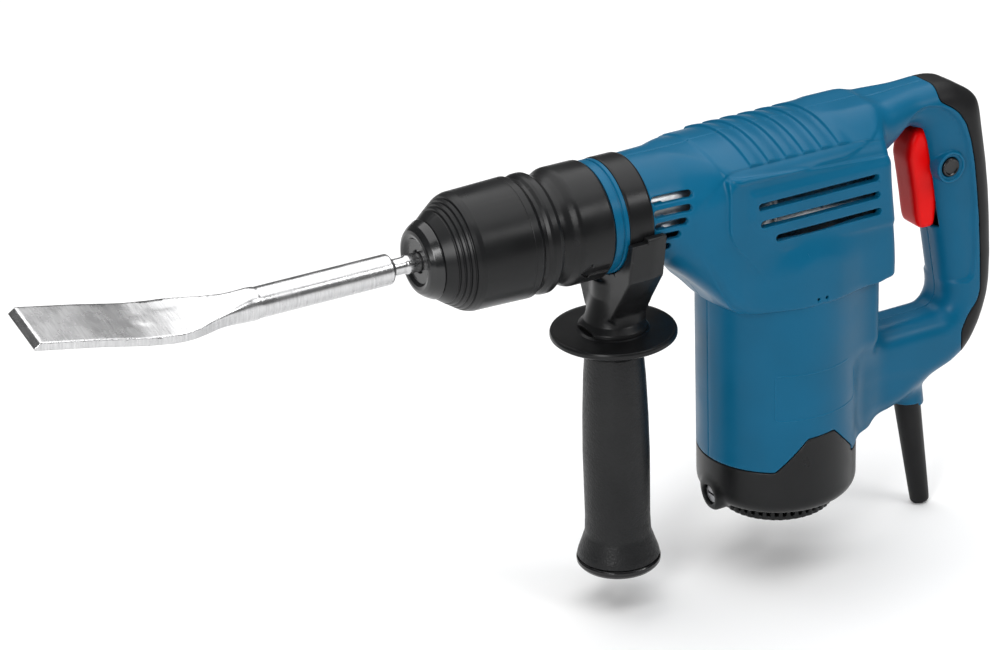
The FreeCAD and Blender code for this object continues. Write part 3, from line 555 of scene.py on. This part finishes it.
def place_normals(mesh, points, normals):
    """Give the mesh the normals worked out with its points."""
    table = {tuple(round(c * MM, 7) for c in p): n for p, n in zip(points, normals)}
    found = []
    for vertex in mesh.vertices:
        n = table.get(tuple(round(c, 7) for c in vertex.co))
        found.append(n if n is not None else Vector((0, 0, 0)))
    mesh.normals_split_custom_set_from_vertices([tuple(n) for n in found])


def finish_piece(piece, body, slot, *nodes):
    """Put a finished piece on its body, in place of its CAD nodes."""
    if nodes:
        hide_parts(*nodes)
    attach(piece, body)
    piece.data.materials.clear()
    piece.data.materials.append(MATERIALS[slot])
    return piece


def along(station):
    """x of a station along the spindle."""
    return station - MOTOR_STATION


# ---------------------------------------------------------------- nose

SPINDLE_ORIGIN = Vector((-MOTOR_STATION, 0, SPINDLE_Z))
X_AXIS = Vector((1, 0, 0))
Z_AXIS = Vector((0, 0, 1))


def on_spindle(name, corners):
    return turned(name, corners, SPINDLE_ORIGIN, X_AXIS)


def sleeve_ribs():
    """Four fine ribs round the cone of the locking sleeve."""
    corners = []
    for index in range(4):
        s = 5.2 + 2.35 * index
        r = 20.6 + s * 0.669
        corners += [(s, r, 0.3), (s + 0.35, r - 0.75, 0.25), (s + 0.9, r - 0.4, 0.25),
                    (s + 1.1, r + 0.74, 0.3)]
    return corners


def nose_parts():
    """Locking sleeve, dust cap, collar, clamp band and turning ring."""
    sleeve = [(0, 10.8), (0, 20.2, 0.8)] + sleeve_ribs() + [
        (15.2, 30.4, 2.5), (17.5, 31.0, 2.0), (45.2, 31.75, 0.2), (45.45, 31.6, 0.1), (45.7, 31.77, 0.2),
        (49.2, 31.9, 0.8), (50.6, 30.9, 0.6), (51.6, 30.0, 0.8), (53.6, 29.9, 0.8), (55.3, 31.2, 0.8),
        (56.8, 31.7, 0.6), (59.8, 31.75, 1.0), (62.2, 30.4, 0.6), (62.3, 28.9, 0.2), (33, 28.8), (16, 26.5),
        (7.5, 20.5), (7.5, 16.5), (30, 16.5), (30, 14.05), (6, 14.05), (6, 10.8)]
    finish_piece(on_spindle("locking_sleeve_skin", sleeve), "locking_sleeve", "black_plastic",
                 "locking_sleeve")
    cap = [(-5.4, 6.0, 0.5), (-5.4, 11.4, 1.0), (-6.9, 12.8, 0.8), (-7.4, 14.6, 1.2), (-6.9, 16.6, 2.0),
           (-4.6, 18.6, 2.5), (-0.9, 20.7, 0.6), (-0.2, 20.2, 0.3), (-0.2, 10.4, 0.1), (-4.1, 10.4), (-4.1, 6.0)]
    finish_piece(on_spindle("dust_boot", cap), "tool_holder", "gloss_rubber", "dust_cap")
    collar = [(92.9, 24.6, 0.1), (92.9, 30.0, 0.3), (97.1, 30.2, 0.3), (97.5, 29.4, 0.2), (98.3, 29.4, 0.2),
              (98.7, 30.2, 0.3), (100.8, 30.2, 0.4), (100.8, 24.6, 0.1)]
    finish_piece(on_spindle("neck_collar", collar), "housing", "blue_housing", "collar_ring")
    band = [(100.9, 27.6, 0.2), (100.9, 30.3, 0.5), (102.2, 30.6, 0.5), (114.0, 30.6, 0.5), (115.2, 30.2, 0.5),
            (115.2, 27.6, 0.2)]
    finish_piece(on_spindle("strap_band", band), "handle_bracket", "black_plastic", "clamp_band")
    ring = field_mesh("turning_ring", turning_ring, (along(59.5), -33, SPINDLE_Z - 33),
                      (along(93.5), 33, SPINDLE_Z + 33))
    finish_piece(ring, "turning_ring", "black_plastic", "chisel_turning_ring")


class Turned:
    """Distance to an outline of (station, radius) points turned about the spindle."""
    SHIFT = 60                  # brings the nose's stations inside an outline's table

    def __init__(self, corners, softness=0.0):
        self.outline = Outline([(along(s) + self.SHIFT, r) for s, r in corners], softness)

    def __call__(self, x, radius):
        return self.outline(x + self.SHIFT, radius)


RING_PROFILE = Turned([
    (60.3, 16.0), (60.3, 28.2), (66.5, 28.2), (69.0, 29.0), (72.2, 31.0), (74.0, 31.4), (91.0, 31.4),
    (92.5, 30.2), (92.5, 25.4), (80.0, 25.4), (80.0, 16.0)])
ARROW_ANGLE = math.radians(-147)
ARROW_FLOOR_R = 30.3
ARROW = [(73.6, 0), (79.4, -6.2), (79.4, -3.0), (91.5, -3.0), (91.5, 3.0), (79.4, 3.0), (79.4, 6.2)]


def arrow_outline(s, across):
    """Distance to a block arrow that points to the chisel."""
    best = np.full(np.shape(s), 1e9)
    inside = np.zeros(np.shape(s), bool)
    for (s0, a0), (s1, a1) in zip(ARROW, ARROW[1:] + ARROW[:1]):
        ds, da = s1 - s0, a1 - a0
        t = np.clip(((s - s0) * ds + (across - a0) * da) / (ds * ds + da * da), 0, 1)
        best = np.minimum(best, (s - s0 - ds * t) ** 2 + (across - a0 - da * t) ** 2)
        if da:
            inside ^= ((a0 <= across) != (a1 <= across)) & (s - s0 < ds * (across - a0) / da)
    return np.where(inside, -1, 1) * np.sqrt(best)


def turning_ring(x, y, z):
    """Ring that turns the chisel, with a block arrow sunk into its flank."""
    radius = np.hypot(y, z - SPINDLE_Z)
    d = RING_PROFILE(x, radius)
    angle = np.arctan2(z - SPINDLE_Z, y) - ARROW_ANGLE
    angle = (angle + math.pi) % (2 * math.pi) - math.pi
    arrow = arrow_outline(x + MOTOR_STATION, angle * RING_R)
    recess = smooth_max(smooth_max(arrow, ARROW_FLOOR_R - radius, 0.2), radius - 33, 0.4)
    return smooth_max(d, -recess, 0.2)


# ---------------------------------------------------------------- chisel

TOOL_ROLL = math.radians(11.5)
BLADE_HALF = 16.2
BLADE_TIP = along(-218.0)
BLADE_EDGE_H = 17.7         # cutting edge's height over the spindle
BLADE_LEAN = 0.96           # cosine of the blade's slant


def at_stations(points, softness):
    return Curve([(along(s), value) for s, value in points], softness)


CHISEL_TOP = at_stations([(-224, 22.9), (-185, 14.2), (-160, 7.9), (-145, 5.4), (-134, 4.4), (-122, 4.6),
                          (-111, 5.7), (-101, 7.6), (-94, 9.6), (-20, 30)], 5)
CHISEL_FLOOR = at_stations([(-224, 18.0), (-185, 9.3), (-160, 2.8), (-146, 0.2), (-132, -1.2), (-119, -2.6),
                            (-110, -5.0), (-101, -7.4), (-92, -9.5), (-20, -30)], 5)
BLADE_WIDTH = at_stations([(-224, BLADE_HALF), (-141, BLADE_HALF), (-134, 15.2), (-122, 11.3), (-112, 8.9),
                           (-102, 7.9), (-92, 7.4), (-20, 7)], 4)
BLADE_CORNER = at_stations([(-224, 0.4), (-125, 0.5), (-114, 2.6), (-105, 5.5), (-96, 7.2), (-20, 7)], 4)


def chisel_solid(x, y, z):
    """Spatula chisel before it is rolled about the spindle."""
    h = z - SPINDLE_Z
    radius = np.hypot(y, h)
    s = x + MOTOR_STATION
    shaft = rounded(radius - 8.0, s + 21.6, 1.6)
    width, corner = BLADE_WIDTH(x), BLADE_CORNER(x)
    high, low = np.minimum(CHISEL_TOP(x), 8), np.maximum(CHISEL_FLOOR(x), -8)
    high = np.where(s < -150, CHISEL_TOP(x), high)
    middle = (high + low) / 2
    blade = rounded(np.abs(y) - width, np.abs(h - middle) - (high - low) / 2, corner)
    blade = smooth_max(blade, s + 96, 1)
    d = smooth_min(shaft, blade, 1.2)
    d = rounded(d, (h - CHISEL_TOP(x)) * BLADE_LEAN, 0.3)
    d = rounded(d, (CHISEL_FLOOR(x) - h) * BLADE_LEAN, 0.5)
    tip = BLADE_TIP - x
    edge_h = h - BLADE_EDGE_H
    d = rounded(d, tip * 0.62 + edge_h * 0.78, 0.15)
    d = rounded(d, tip * 0.90 - edge_h * 0.44, 0.2)
    neck = rounded(radius - 4.4, np.abs(s + 16.5) - 6.5, 0.3)
    neck = smooth_min(d, neck, 2.5)
    shank = rounded(radius - 5.0, np.abs(s - 19.5) - 32.5, 0.8)
    d = smooth_min(neck, shank, 0.6)
    flutes = np.hypot(np.abs(y) - 6.75, h) - 3.65
    flutes = smooth_max(flutes, np.abs(s - 30) - 8.5, 0.5)
    d = smooth_max(d, -flutes, 0.4)
    key = rounded(np.abs(y) - 1.5, 4.9 - 1.3 - np.abs(h), 0.2)
    return smooth_max(d, -smooth_max(key, 20 - s, 0.4), 0.4)


def chisel(x, y, z):
    """The chisel as it sits in the turned tool holder."""
    h = z - SPINDLE_Z
    c, s = math.cos(TOOL_ROLL), math.sin(TOOL_ROLL)
    return chisel_solid(x, y * c + h * s, SPINDLE_Z + h * c - y * s)


def make_chisel():
    tool = field_mesh("spatula_chisel", chisel, (along(-219), -21, SPINDLE_Z - 11),
                      (along(53), 18, SPINDLE_Z + 26), PITCH * 0.8, 0.01, 0.7)
    return finish_piece(tool, "chisel", "chisel_steel", "chisel")


# ---------------------------------------------------------------- auxiliary handle

AUX_X = along(107.2)
FLANGE_Z = 128.2


def bracket(x, y, z):
    """Clamp bracket: side arms round the neck, a front plate and the hub over the flange."""
    s = x + MOTOR_STATION
    radius = np.hypot(y, z - SPINDLE_Z)
    side = np.abs(y)
    reach = np.interp(z, [126, 140, 150, 166, 189.5], [10.5, 14.0, 20.0, 31.0, 35.4])
    arms = (side - reach) * 0.86
    arms = rounded(arms, z - 190.0, 1.2)
    front = np.interp(z, [136, 155, 190], [97.4, 99.0, 99.4])
    arms = rounded(arms, np.maximum(front - s, s - 120.2), 1.0)
    arms = smooth_max(arms, 131 - z, 1)
    arms = smooth_max(arms, (139.5 - z) * 0.8 - (s - 97.4) * 0.6, 0.8)
    ledge = rounded(s - 108.5, 187.8 - z, 0.4)
    arms = smooth_max(arms, -smooth_max(ledge, -(side - 20), 0.5), 0.5)
    crease = (side - reach - 0.9) * 0.86 + np.maximum(s - 108.5, 0) * 0.16
    arms = smooth_max(arms, crease, 0.3)
    cone = np.interp(z, [128, 131, 134, 148], [19.0, 18.6, 15.6, 11.0])
    hub = rounded(np.hypot(x - AUX_X, y) - cone, np.abs(z - 143.2) - 14.8, 0.8)
    d = smooth_min(arms, hub, 3.0)
    return smooth_max(d, -(radius - 30.75), 0.4)


def side_handle():
    """Bracket, core, rubber sleeve and end cap of the side grip."""
    part = field_mesh("handle_bracket", bracket, (along(91), -37, 127), (along(121), 37, 191.5))
    finish_piece(part, "handle_bracket", "black_plastic", "aux_bracket")
    origin = Vector((AUX_X, 0, 0))
    core = [(54.0, 4.3, 0.1), (128.2, 4.3, 0.1), (129.6, 4.3, 0.1), (129.6, 14.0, 0.6), (128.9, 15.2, 0.4),
            (128.9, 18.2, 0.6), (128.1, 19.4, 0.5), (127.6, 31.6, 1.0), (127.9, 33.2, 0.7), (126.6, 33.7, 0.8),
            (124.8, 33.7, 0.8), (123.8, 32.4, 0.8), (123.2, 17.6, 1.0), (121.6, 15.0, 1.2), (116.6, 14.9, 0.4),
            (116.2, 13.2, 0.2), (-4.1, 13.2, 0.2), (-4.1, 9.0, 0.2), (54, 9.0, 0.2)]
    finish_piece(turned("grip_core_flange", core[::-1], origin, Z_AXIS), "side_grip", "black_plastic",
                 "grip_core")
    sleeve = [(-3.2, 13.35, 0.1), (-6.2, 13.35, 0.1), (-6.2, 21.8, 0.6), (-5.4, 22.4, 0.8), (-3.0, 21.8, 3.0),
              (1.5, 20.2, 8.0), (8.0, 18.0, 9.0), (17, 17.6, 10.0), (34, 17.8, 30.0), (56, 18.0, 30.0),
              (78, 17.6, 30.0), (100, 16.7, 20.0), (114.6, 15.6, 0.6), (115.9, 14.8, 0.6), (115.9, 13.35, 0.1)]
    finish_piece(turned("grip_sleeve_skin", sleeve, origin, Z_AXIS), "side_grip", "grip_rubber",
                 "grip_sleeve")
    rim = [(-11.8, 0.0), (-11.8, 18.0, 1.5), (-11.1, 21.4, 1.4), (-9.2, 22.8, 1.0), (-7.2, 22.9, 0.6),
           (-6.45, 22.2, 0.4), (-6.45, 13.0, 0.3), (-4.5, 8.8, 0.3), (-4.5, 0.0)]
    finish_piece(turned("grip_rim_cap", rim, origin, Z_AXIS, closed=False), "side_grip", "black_gloss",
                 "grip_end_cap")


# ---------------------------------------------------------------- trigger, button and cord sleeve

TRIGGER = Outline([
    (88.0, 199.4), (84.6, 198.2), (81.6, 192.6), (80.2, 184.0), (82.2, 173.0), (84.4, 160.0), (86.3, 147.0),
    (87.6, 142.6), (90.2, 140.7), (98.2, 140.7), (98.6, 143.0), (100.6, 160.0),
    (99.4, 196.0), (96.5, 199.4)], 1.0)


def trigger(x, y, z):
    """Trigger lever, bored for its pin."""
    d = rounded(np.abs(y) - 9.0, TRIGGER(x, z), 3.4)
    return smooth_max(d, -(np.hypot(x - 94, z - 196) - 1.6), 0.3)


def controls():
    """Trigger, switch lock button and the cord's rubber sleeve."""
    lever = field_mesh("trigger_lever", trigger, (79, -10, 139), (103, 10, 201))
    finish_piece(lever, "trigger", "red_plastic", "trigger")
    centre = Vector((LOCK_X, 0, LOCK_Z))
    face = [(12.0, 0.0), (12.0, 5.2, 0.2), (17.6, 5.3, 0.6), (18.3, 4.6, 0.5), (17.6, 3.6, 0.6), (17.3, 0.0)]
    button = turned("lock_button_face", face[::-1], centre, (0, -1, 0), closed=False, segments=72)
    finish_piece(button, "lock_button", "black_gloss", "lock_button")
    axis = SLEEVE_MOUTH - SLEEVE_TOP
    length = axis.length
    sleeve = [(-6, 3.8, 0.3), (-6, 7.5, 0.5), (2, 7.6, 2.0), (length - 6, 5.7, 3.0), (length - 1.0, 5.45, 0.6),
              (length, 5.0, 0.5), (length, 3.8, 0.3)]
    guard = turned("cord_guard", sleeve, SLEEVE_TOP, axis, segments=96)
    finish_piece(guard, "housing", "black_rubber", "cord_sleeve")


# ---------------------------------------------------------------- label frame on the barrel

def label_frame():
    """Thin raised frame round the blank label field on the barrel."""
    low, high, edge = 66.5, 93.0, 2.6
    start, end = math.radians(-124.0), math.radians(-51.5)
    arc = (end - start) * BARREL_R
    corners = [(arc - edge, high - edge, 0), (edge, high - edge, 90), (edge, low + edge, 180),
               (arc - edge, low + edge, 270)]
    path = []
    for u, z, turn in corners:
        for step in range(7):
            a = math.radians(turn + 15 * step)
            path.append((u + edge * math.cos(a), z + edge * math.sin(a), math.cos(a), math.sin(a)))
    dense = []
    for (u0, z0, nu0, nz0), (u1, z1, nu1, nz1) in zip(path, path[1:] + path[:1]):
        pieces = max(1, int(math.hypot(u1 - u0, z1 - z0) / 1.5))
        for step in range(pieces):
            t = step / pieces
            dense.append((u0 + (u1 - u0) * t, z0 + (z1 - z0) * t,
                          nu0 + (nu1 - nu0) * t, nz0 + (nz1 - nz0) * t))
    section = [(-0.42, -0.05), (-0.3, 0.13), (0.0, 0.19), (0.3, 0.13), (0.42, -0.05)]
    points = []
    for u, z, nu, nz in dense:
        for across, lift in section:
            angle = start + (u + nu * across) / BARREL_R
            r = BARREL_R + lift
            points.append((r * math.cos(angle), r * math.sin(angle), z + nz * across))
    count, wide = len(dense), len(section)
    faces = []
    for i in range(count):
        here, ahead = i * wide, (i + 1) % count * wide
        for k in range(wide):
            m = (k + 1) % wide
            faces.append((here + k, here + m, ahead + m, ahead + k))
    finish_piece(mesh_object("label_frame", points, faces), "housing", "blue_housing")


# ---------------------------------------------------------------- materials

def new_material(name, metallic=0.0, specular=0.5):
    """A node material and its shader."""
    material = bpy.data.materials.new(name)
    material.use_nodes = True
    shader = material.node_tree.nodes["Principled BSDF"]
    shader.inputs["Metallic"].default_value = metallic
    shader.inputs["Specular IOR Level"].default_value = specular
    shader.inputs["Coat Roughness"].default_value = 0.2
    return material, shader


def noise(material, scale, detail=3.0, stretch=(1, 1, 1), turn=(0, 0, 0)):
    """A noise value in the object's own space."""
    tree = material.node_tree
    place = tree.nodes.new("ShaderNodeTexCoord")
    mapping = tree.nodes.new("ShaderNodeMapping")
    mapping.inputs["Scale"].default_value = stretch
    mapping.inputs["Rotation"].default_value = turn
    texture = tree.nodes.new("ShaderNodeTexNoise")
    texture.inputs["Scale"].default_value = scale
    texture.inputs["Detail"].default_value = detail
    tree.links.new(place.outputs["Object"], mapping.inputs["Vector"])
    tree.links.new(mapping.outputs["Vector"], texture.inputs["Vector"])
    return texture.outputs["Fac"]


def spread(material, value, low, high, start=0.3, end=0.7):
    """A value carried to a new range."""
    node = material.node_tree.nodes.new("ShaderNodeMapRange")
    node.inputs["From Min"].default_value = start
    node.inputs["From Max"].default_value = end
    node.inputs["To Min"].default_value = low
    node.inputs["To Max"].default_value = high
    material.node_tree.links.new(value, node.inputs["Value"])
    return node.outputs["Result"]


def tinted(material, value, dark, light):
    """A colour between two tones."""
    node = material.node_tree.nodes.new("ShaderNodeMix")
    node.data_type = "RGBA"
    node.inputs["A"].default_value = (*dark, 1)
    node.inputs["B"].default_value = (*light, 1)
    material.node_tree.links.new(value, node.inputs["Factor"])
    return node.outputs["Result"]


def bumped(material, shader, heights):
    """Bump from (value, strength, distance in metres) layers."""
    normal = None
    for value, strength, distance in heights:
        node = material.node_tree.nodes.new("ShaderNodeBump")
        node.inputs["Strength"].default_value = strength
        node.inputs["Distance"].default_value = distance
        material.node_tree.links.new(value, node.inputs["Height"])
        if normal is not None:
            material.node_tree.links.new(normal, node.inputs["Normal"])
        normal = node.outputs["Normal"]
    material.node_tree.links.new(normal, shader.inputs["Normal"])


def worn(material, color, light, amount=0.5):
    """Edges rubbed lighter."""
    tree = material.node_tree
    geometry = tree.nodes.new("ShaderNodeNewGeometry")
    edge = spread(material, geometry.outputs["Pointiness"], 0.0, amount, 0.52, 0.62)
    node = tree.nodes.new("ShaderNodeMix")
    node.data_type = "RGBA"
    node.inputs["B"].default_value = (*light, 1)
    tree.links.new(edge, node.inputs["Factor"])
    tree.links.new(color, node.inputs["A"])
    return node.outputs["Result"]


def moulded(name, dark, light, rough, grain=0.15, grain_scale=1500.0, specular=0.5, wear=None):
    """Moulded plastic or rubber: fine grain, slight mottling and rubbed edges."""
    material, shader = new_material(name, specular=specular)
    links = material.node_tree.links
    color = tinted(material, spread(material, noise(material, 28.0), 0, 1), dark, light)
    if wear:
        color = worn(material, color, wear)
    links.new(color, shader.inputs["Base Color"])
    links.new(spread(material, noise(material, 55.0, 5), rough - 0.05, rough + 0.06),
              shader.inputs["Roughness"])
    bumped(material, shader, [(noise(material, grain_scale, 2), grain, 0.0001)])
    return material


def metal(name, dark, light, rough, stretch=(1, 1, 1), scale=400.0, scratch=0.1, rough_spread=0.08,
          turn=(0, 0, 0)):
    """Metal with tool marks along one direction."""
    material, shader = new_material(name, metallic=1.0)
    links = material.node_tree.links
    marks = noise(material, scale, 6, stretch, turn)
    links.new(tinted(material, spread(material, marks, 0, 1), dark, light), shader.inputs["Base Color"])
    links.new(spread(material, noise(material, 90.0, 4), rough - rough_spread, rough + rough_spread),
              shader.inputs["Roughness"])
    bumped(material, shader, [(marks, scratch, 0.0001)])
    return material


def make_materials():
    """One material for each of the record's slots."""
    return {
        "blue_housing": moulded("blue_housing", (0.0, 0.088, 0.176), (0.001, 0.100, 0.200), 0.36, 0.08, 1400.0,
                                specular=0.16, wear=(0.01, 0.16, 0.30)),
        "black_plastic": moulded("black_plastic", (0.006, 0.0062, 0.0066), (0.010, 0.0104, 0.011), 0.32, 0.10,
                                 1300.0, specular=0.22, wear=(0.03, 0.03, 0.031)),
        "black_gloss": moulded("black_gloss", (0.005, 0.005, 0.0055), (0.008, 0.008, 0.0085), 0.18, 0.03,
                               specular=0.4),
        "black_rubber": moulded("black_rubber", (0.007, 0.007, 0.0075), (0.012, 0.012, 0.0125), 0.46, 0.15,
                                1100.0, specular=0.16),
        "gloss_rubber": moulded("gloss_rubber", (0.005, 0.0055, 0.006), (0.008, 0.0085, 0.009), 0.20, 0.05),
        "grip_rubber": pebbled("grip_rubber"),
        "red_plastic": moulded("red_plastic", (0.78, 0.0, 0.0), (0.88, 0.002, 0.002), 0.36, 0.05,
                               specular=0.14, wear=(0.9, 0.04, 0.03)),
        "cast_aluminium": metal("cast_aluminium", (0.55, 0.56, 0.57), (0.75, 0.76, 0.77), 0.34, scratch=0.25),
        "bright_steel": metal("bright_steel", (0.62, 0.62, 0.63), (0.8, 0.8, 0.81), 0.18, scratch=0.05),
        "dark_steel": metal("dark_steel", (0.2, 0.2, 0.21), (0.32, 0.32, 0.33), 0.3, scratch=0.08),
        "zinc_steel": metal("zinc_steel", (0.5, 0.5, 0.5), (0.66, 0.66, 0.67), 0.3, scratch=0.08),
        "chisel_steel": metal("chisel_steel", (0.46, 0.46, 0.465), (0.62, 0.62, 0.625), 0.27,
                              (4, 0.4, 0.4), 300.0, 0.025, 0.05, (0, 0, 0.35)),
        "laminated_steel": metal("laminated_steel", (0.2, 0.2, 0.21), (0.36, 0.36, 0.37), 0.45, (0.05, 0.05, 6),
                                 300.0, 0.5),
        "copper_winding": metal("copper_winding", (0.42, 0.16, 0.06), (0.6, 0.26, 0.12), 0.32, (0.1, 0.1, 5),
                                300.0, 0.6),
        "copper_bar": metal("copper_bar", (0.6, 0.3, 0.17), (0.76, 0.42, 0.26), 0.25),
        "brass_part": metal("brass_part", (0.6, 0.44, 0.18), (0.75, 0.58, 0.3), 0.28),
        "carbon": moulded("carbon", (0.02, 0.02, 0.022), (0.04, 0.04, 0.042), 0.6, 0.2, 900.0),
    }


def pebbled(name):
    """Rubber with a pebble grain and a faint speckle."""
    material, shader = new_material(name, specular=0.24)
    tree = material.node_tree
    links = tree.links
    place = tree.nodes.new("ShaderNodeTexCoord")
    cells = tree.nodes.new("ShaderNodeTexVoronoi")
    cells.feature = "SMOOTH_F1"
    cells.inputs["Scale"].default_value = 950.0
    links.new(place.outputs["Object"], cells.inputs["Vector"])
    color = tinted(material, spread(material, noise(material, 30.0), 0, 1),
                   (0.007, 0.0073, 0.0078), (0.012, 0.0124, 0.013))
    links.new(color, shader.inputs["Base Color"])
    links.new(spread(material, noise(material, 500.0, 2), 0.36, 0.5), shader.inputs["Roughness"])
    height = spread(material, cells.outputs["Distance"], 1, 0, 0.0, 0.9)
    bumped(material, shader, [(height, 0.55, 0.0003)])
    return material


SHADED_LOOKS = {"end_cap_screw": "dark_steel"}


def dress_cad_nodes():
    """Give every CAD node that stays in view its slot's material."""
    for part in frame["record"]["subparts"]:
        node = frame["nodes"].get(part["node"])
        if node is None:
            continue
        node.data.materials.clear()
        node.data.materials.append(MATERIALS[SHADED_LOOKS.get(part["node"], part["material_slot"])])


# ---------------------------------------------------------------- stage, lights and camera

def area_light(name, place, target, size, power):
    """A soft rectangular light that faces its target."""
    data = bpy.data.lights.new(name, "AREA")
    data.shape = "RECTANGLE"
    data.size, data.size_y = size
    data.energy = power
    light = bpy.data.objects.new(name, data)
    light.location = place
    light.rotation_mode = "QUATERNION"
    light.rotation_quaternion = (Vector(target) - Vector(place)).to_track_quat("-Z", "Y")
    bpy.context.scene.collection.objects.link(light)


def studio():
    """Pale floor, soft lights and a plain bright surround."""
    floor_z = CAD_BOX[0].z - 0.0005
    half = 6.0
    mesh = bpy.data.meshes.new("floor")
    corners = [(-half, -half, floor_z), (half, -half, floor_z), (half, half, floor_z), (-half, half, floor_z)]
    mesh.from_pydata(corners, [], [(0, 1, 2, 3)])
    floor = bpy.data.objects.new("floor", mesh)
    bpy.context.scene.collection.objects.link(floor)
    material, shader = new_material("pale_floor")
    shader.inputs["Base Color"].default_value = (0.92, 0.92, 0.92, 1)
    shader.inputs["Roughness"].default_value = 0.7
    mesh.materials.append(material)
    world = bpy.data.worlds.new("surround")
    world.use_nodes = True
    world.node_tree.nodes["Background"].inputs["Color"].default_value = (1, 1, 1, 1)
    world.node_tree.nodes["Background"].inputs["Strength"].default_value = 0.12
    bpy.context.scene.world = world
    area_light("key", (-1.5, -1.1, 1.0), (-0.05, 0, 0.12), (0.6, 0.9), 21)
    area_light("side", (0.9, -1.3, 1.3), (0, 0, 0.12), (0.9, 0.3), 9)
    area_light("overhead", (0.2, 0.6, 2.6), (0.1, 0.3, 0), (4.0, 4.0), 122)


def camera():
    """The view of the front left, from a little above."""
    azimuth, elevation, roll = (math.radians(a) for a in (-28.27, 24.8, -2.22))
    back = Vector((math.sin(azimuth) * math.cos(elevation), -math.cos(azimuth) * math.cos(elevation),
                   math.sin(elevation)))
    right = Vector((math.cos(azimuth), math.sin(azimuth), 0))
    up = back.cross(right)
    right, up = (right * math.cos(roll) + up * math.sin(roll), up * math.cos(roll) - right * math.sin(roll))
    data = bpy.data.cameras.new("camera")
    data.sensor_width = 36.0
    data.lens = 118.8
    data.clip_start, data.clip_end = 0.05, 50
    made = bpy.data.objects.new("camera", data)
    turn = Matrix((right, up, back)).transposed()
    made.matrix_world = Matrix.Translation((-0.89696, -1.35339, 0.8566)) @ turn.to_4x4()
    bpy.context.scene.collection.objects.link(made)
    bpy.context.scene.camera = made


MATERIALS = make_materials()
camera()
studio()
dress_cad_nodes()
make_shells()
bottom_parts()
nose_parts()
make_chisel()
side_handle()
controls()
label_frame()
bpy.context.scene.view_settings.view_transform = "Standard"
